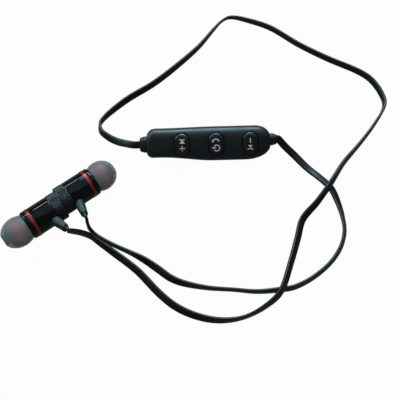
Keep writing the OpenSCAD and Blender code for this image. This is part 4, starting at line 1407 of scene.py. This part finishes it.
def add_tip(side):
    place = bud_place[side] @ Matrix.Translation((0, 0, TIP_BACK))
    skirt = turned(side + "_tip_skirt", skirt_profile(TIP_LENGTH[side]), place, 128)
    store_glow(skirt, place, TIP_LENGTH[side])
    dress(skirt, tip_silicone, side + "_tip", "tip_silicone", side + "_ear_tip")
    corners = [
        (STEM_BORE_R, 0, 0.1 * MM), (STEM_R, 0, 0.15 * MM), (STEM_R, STEM_TO, 0.1 * MM),
        (STEM_HOLE_R, STEM_TO, 0), (STEM_HOLE_R, STEM_CLOSE_TO, 0), (STEM_BORE_R, STEM_CLOSE_FROM, 0),
    ]
    stem = turned(side + "_tip_stem", fillet(corners), place)
    dress(stem, core_silicone, side + "_tip", "tip_silicone")


for side in bud_place:
    add_tip(side)

# %% [markdown]
# ## Finishes of the inside
# The parts inside the box and the buds keep the shapes of the CAD frame. Each only gets a finish: green
# solder mask, moulded chips, plated cans, foil round the battery, nickel on the magnets, film and copper in
# the drivers.

# %% Inside finishes
# Nodes of the box, then parts of each bud, with their finishes
INSIDE = [
    (["circuit_board"], finish_material(
        "board_green", (0.012, 0.075, 0.03), (0.018, 0.1, 0.042), (0.3, 0.42), 2500, 0.008 * MM)),
    (["radio_chip", "socket_tongue"], finish_material(
        "chip_black", (0.012, 0.012, 0.013), (0.02, 0.02, 0.021), (0.55, 0.7), 4000, 0.01 * MM)),
    (["crystal", "charging_socket", "switches"], finish_material(
        "plated_can", (0.5, 0.51, 0.52), (0.62, 0.62, 0.63), (0.22, 0.38), 1800, 0.003 * MM, Metallic=1.0)),
    (["battery"], finish_material(
        "battery_foil", (0.4, 0.42, 0.44), (0.52, 0.54, 0.56), (0.28, 0.5), 700, 0.02 * MM, Metallic=0.9)),
    (["microphone"], finish_material(
        "gold_can", (0.55, 0.38, 0.13), (0.68, 0.48, 0.18), (0.2, 0.34), 1800, 0.003 * MM, Metallic=1.0)),
    (["next_plunger", "power_plunger", "previous_plunger"], finish_material(
        "plunger_cream", (0.5, 0.46, 0.38), (0.6, 0.56, 0.47), (0.4, 0.55), 3000, 0.006 * MM)),
]
BUD_INSIDE = [
    (["coupling_magnet", "driver_magnet"], finish_material(
        "nickel", (0.5, 0.48, 0.44), (0.6, 0.58, 0.54), (0.18, 0.32), 1600, 0.003 * MM, Metallic=1.0)),
    (["driver_yoke", "pole_plate"], finish_material(
        "soft_iron", (0.34, 0.34, 0.35), (0.46, 0.46, 0.47), (0.3, 0.45), 1600, 0.004 * MM, Metallic=1.0)),
    (["driver_frame"], finish_material(
        "frame_plastic", (0.02, 0.02, 0.021), (0.03, 0.03, 0.031), (0.5, 0.65), 3500, 0.008 * MM)),
    (["diaphragm"], finish_material(
        "film", (0.5, 0.47, 0.38), (0.6, 0.57, 0.48), (0.25, 0.4), 2500, 0.003 * MM)),
    (["voice_coil"], finish_material(
        "copper", (0.45, 0.17, 0.07), (0.6, 0.25, 0.1), (0.25, 0.4), 5000, 0.01 * MM, Metallic=1.0)),
]


def paint(names, material):
    for name in names:
        for slot in nodes[name].material_slots:
            slot.material = material


for names, material in INSIDE:
    paint(names, material)
for names, material in BUD_INSIDE:
    paint([side + "_" + name for side in bud_place for name in names], material)
print("inside finishes:", len(INSIDE) + len(BUD_INSIDE))
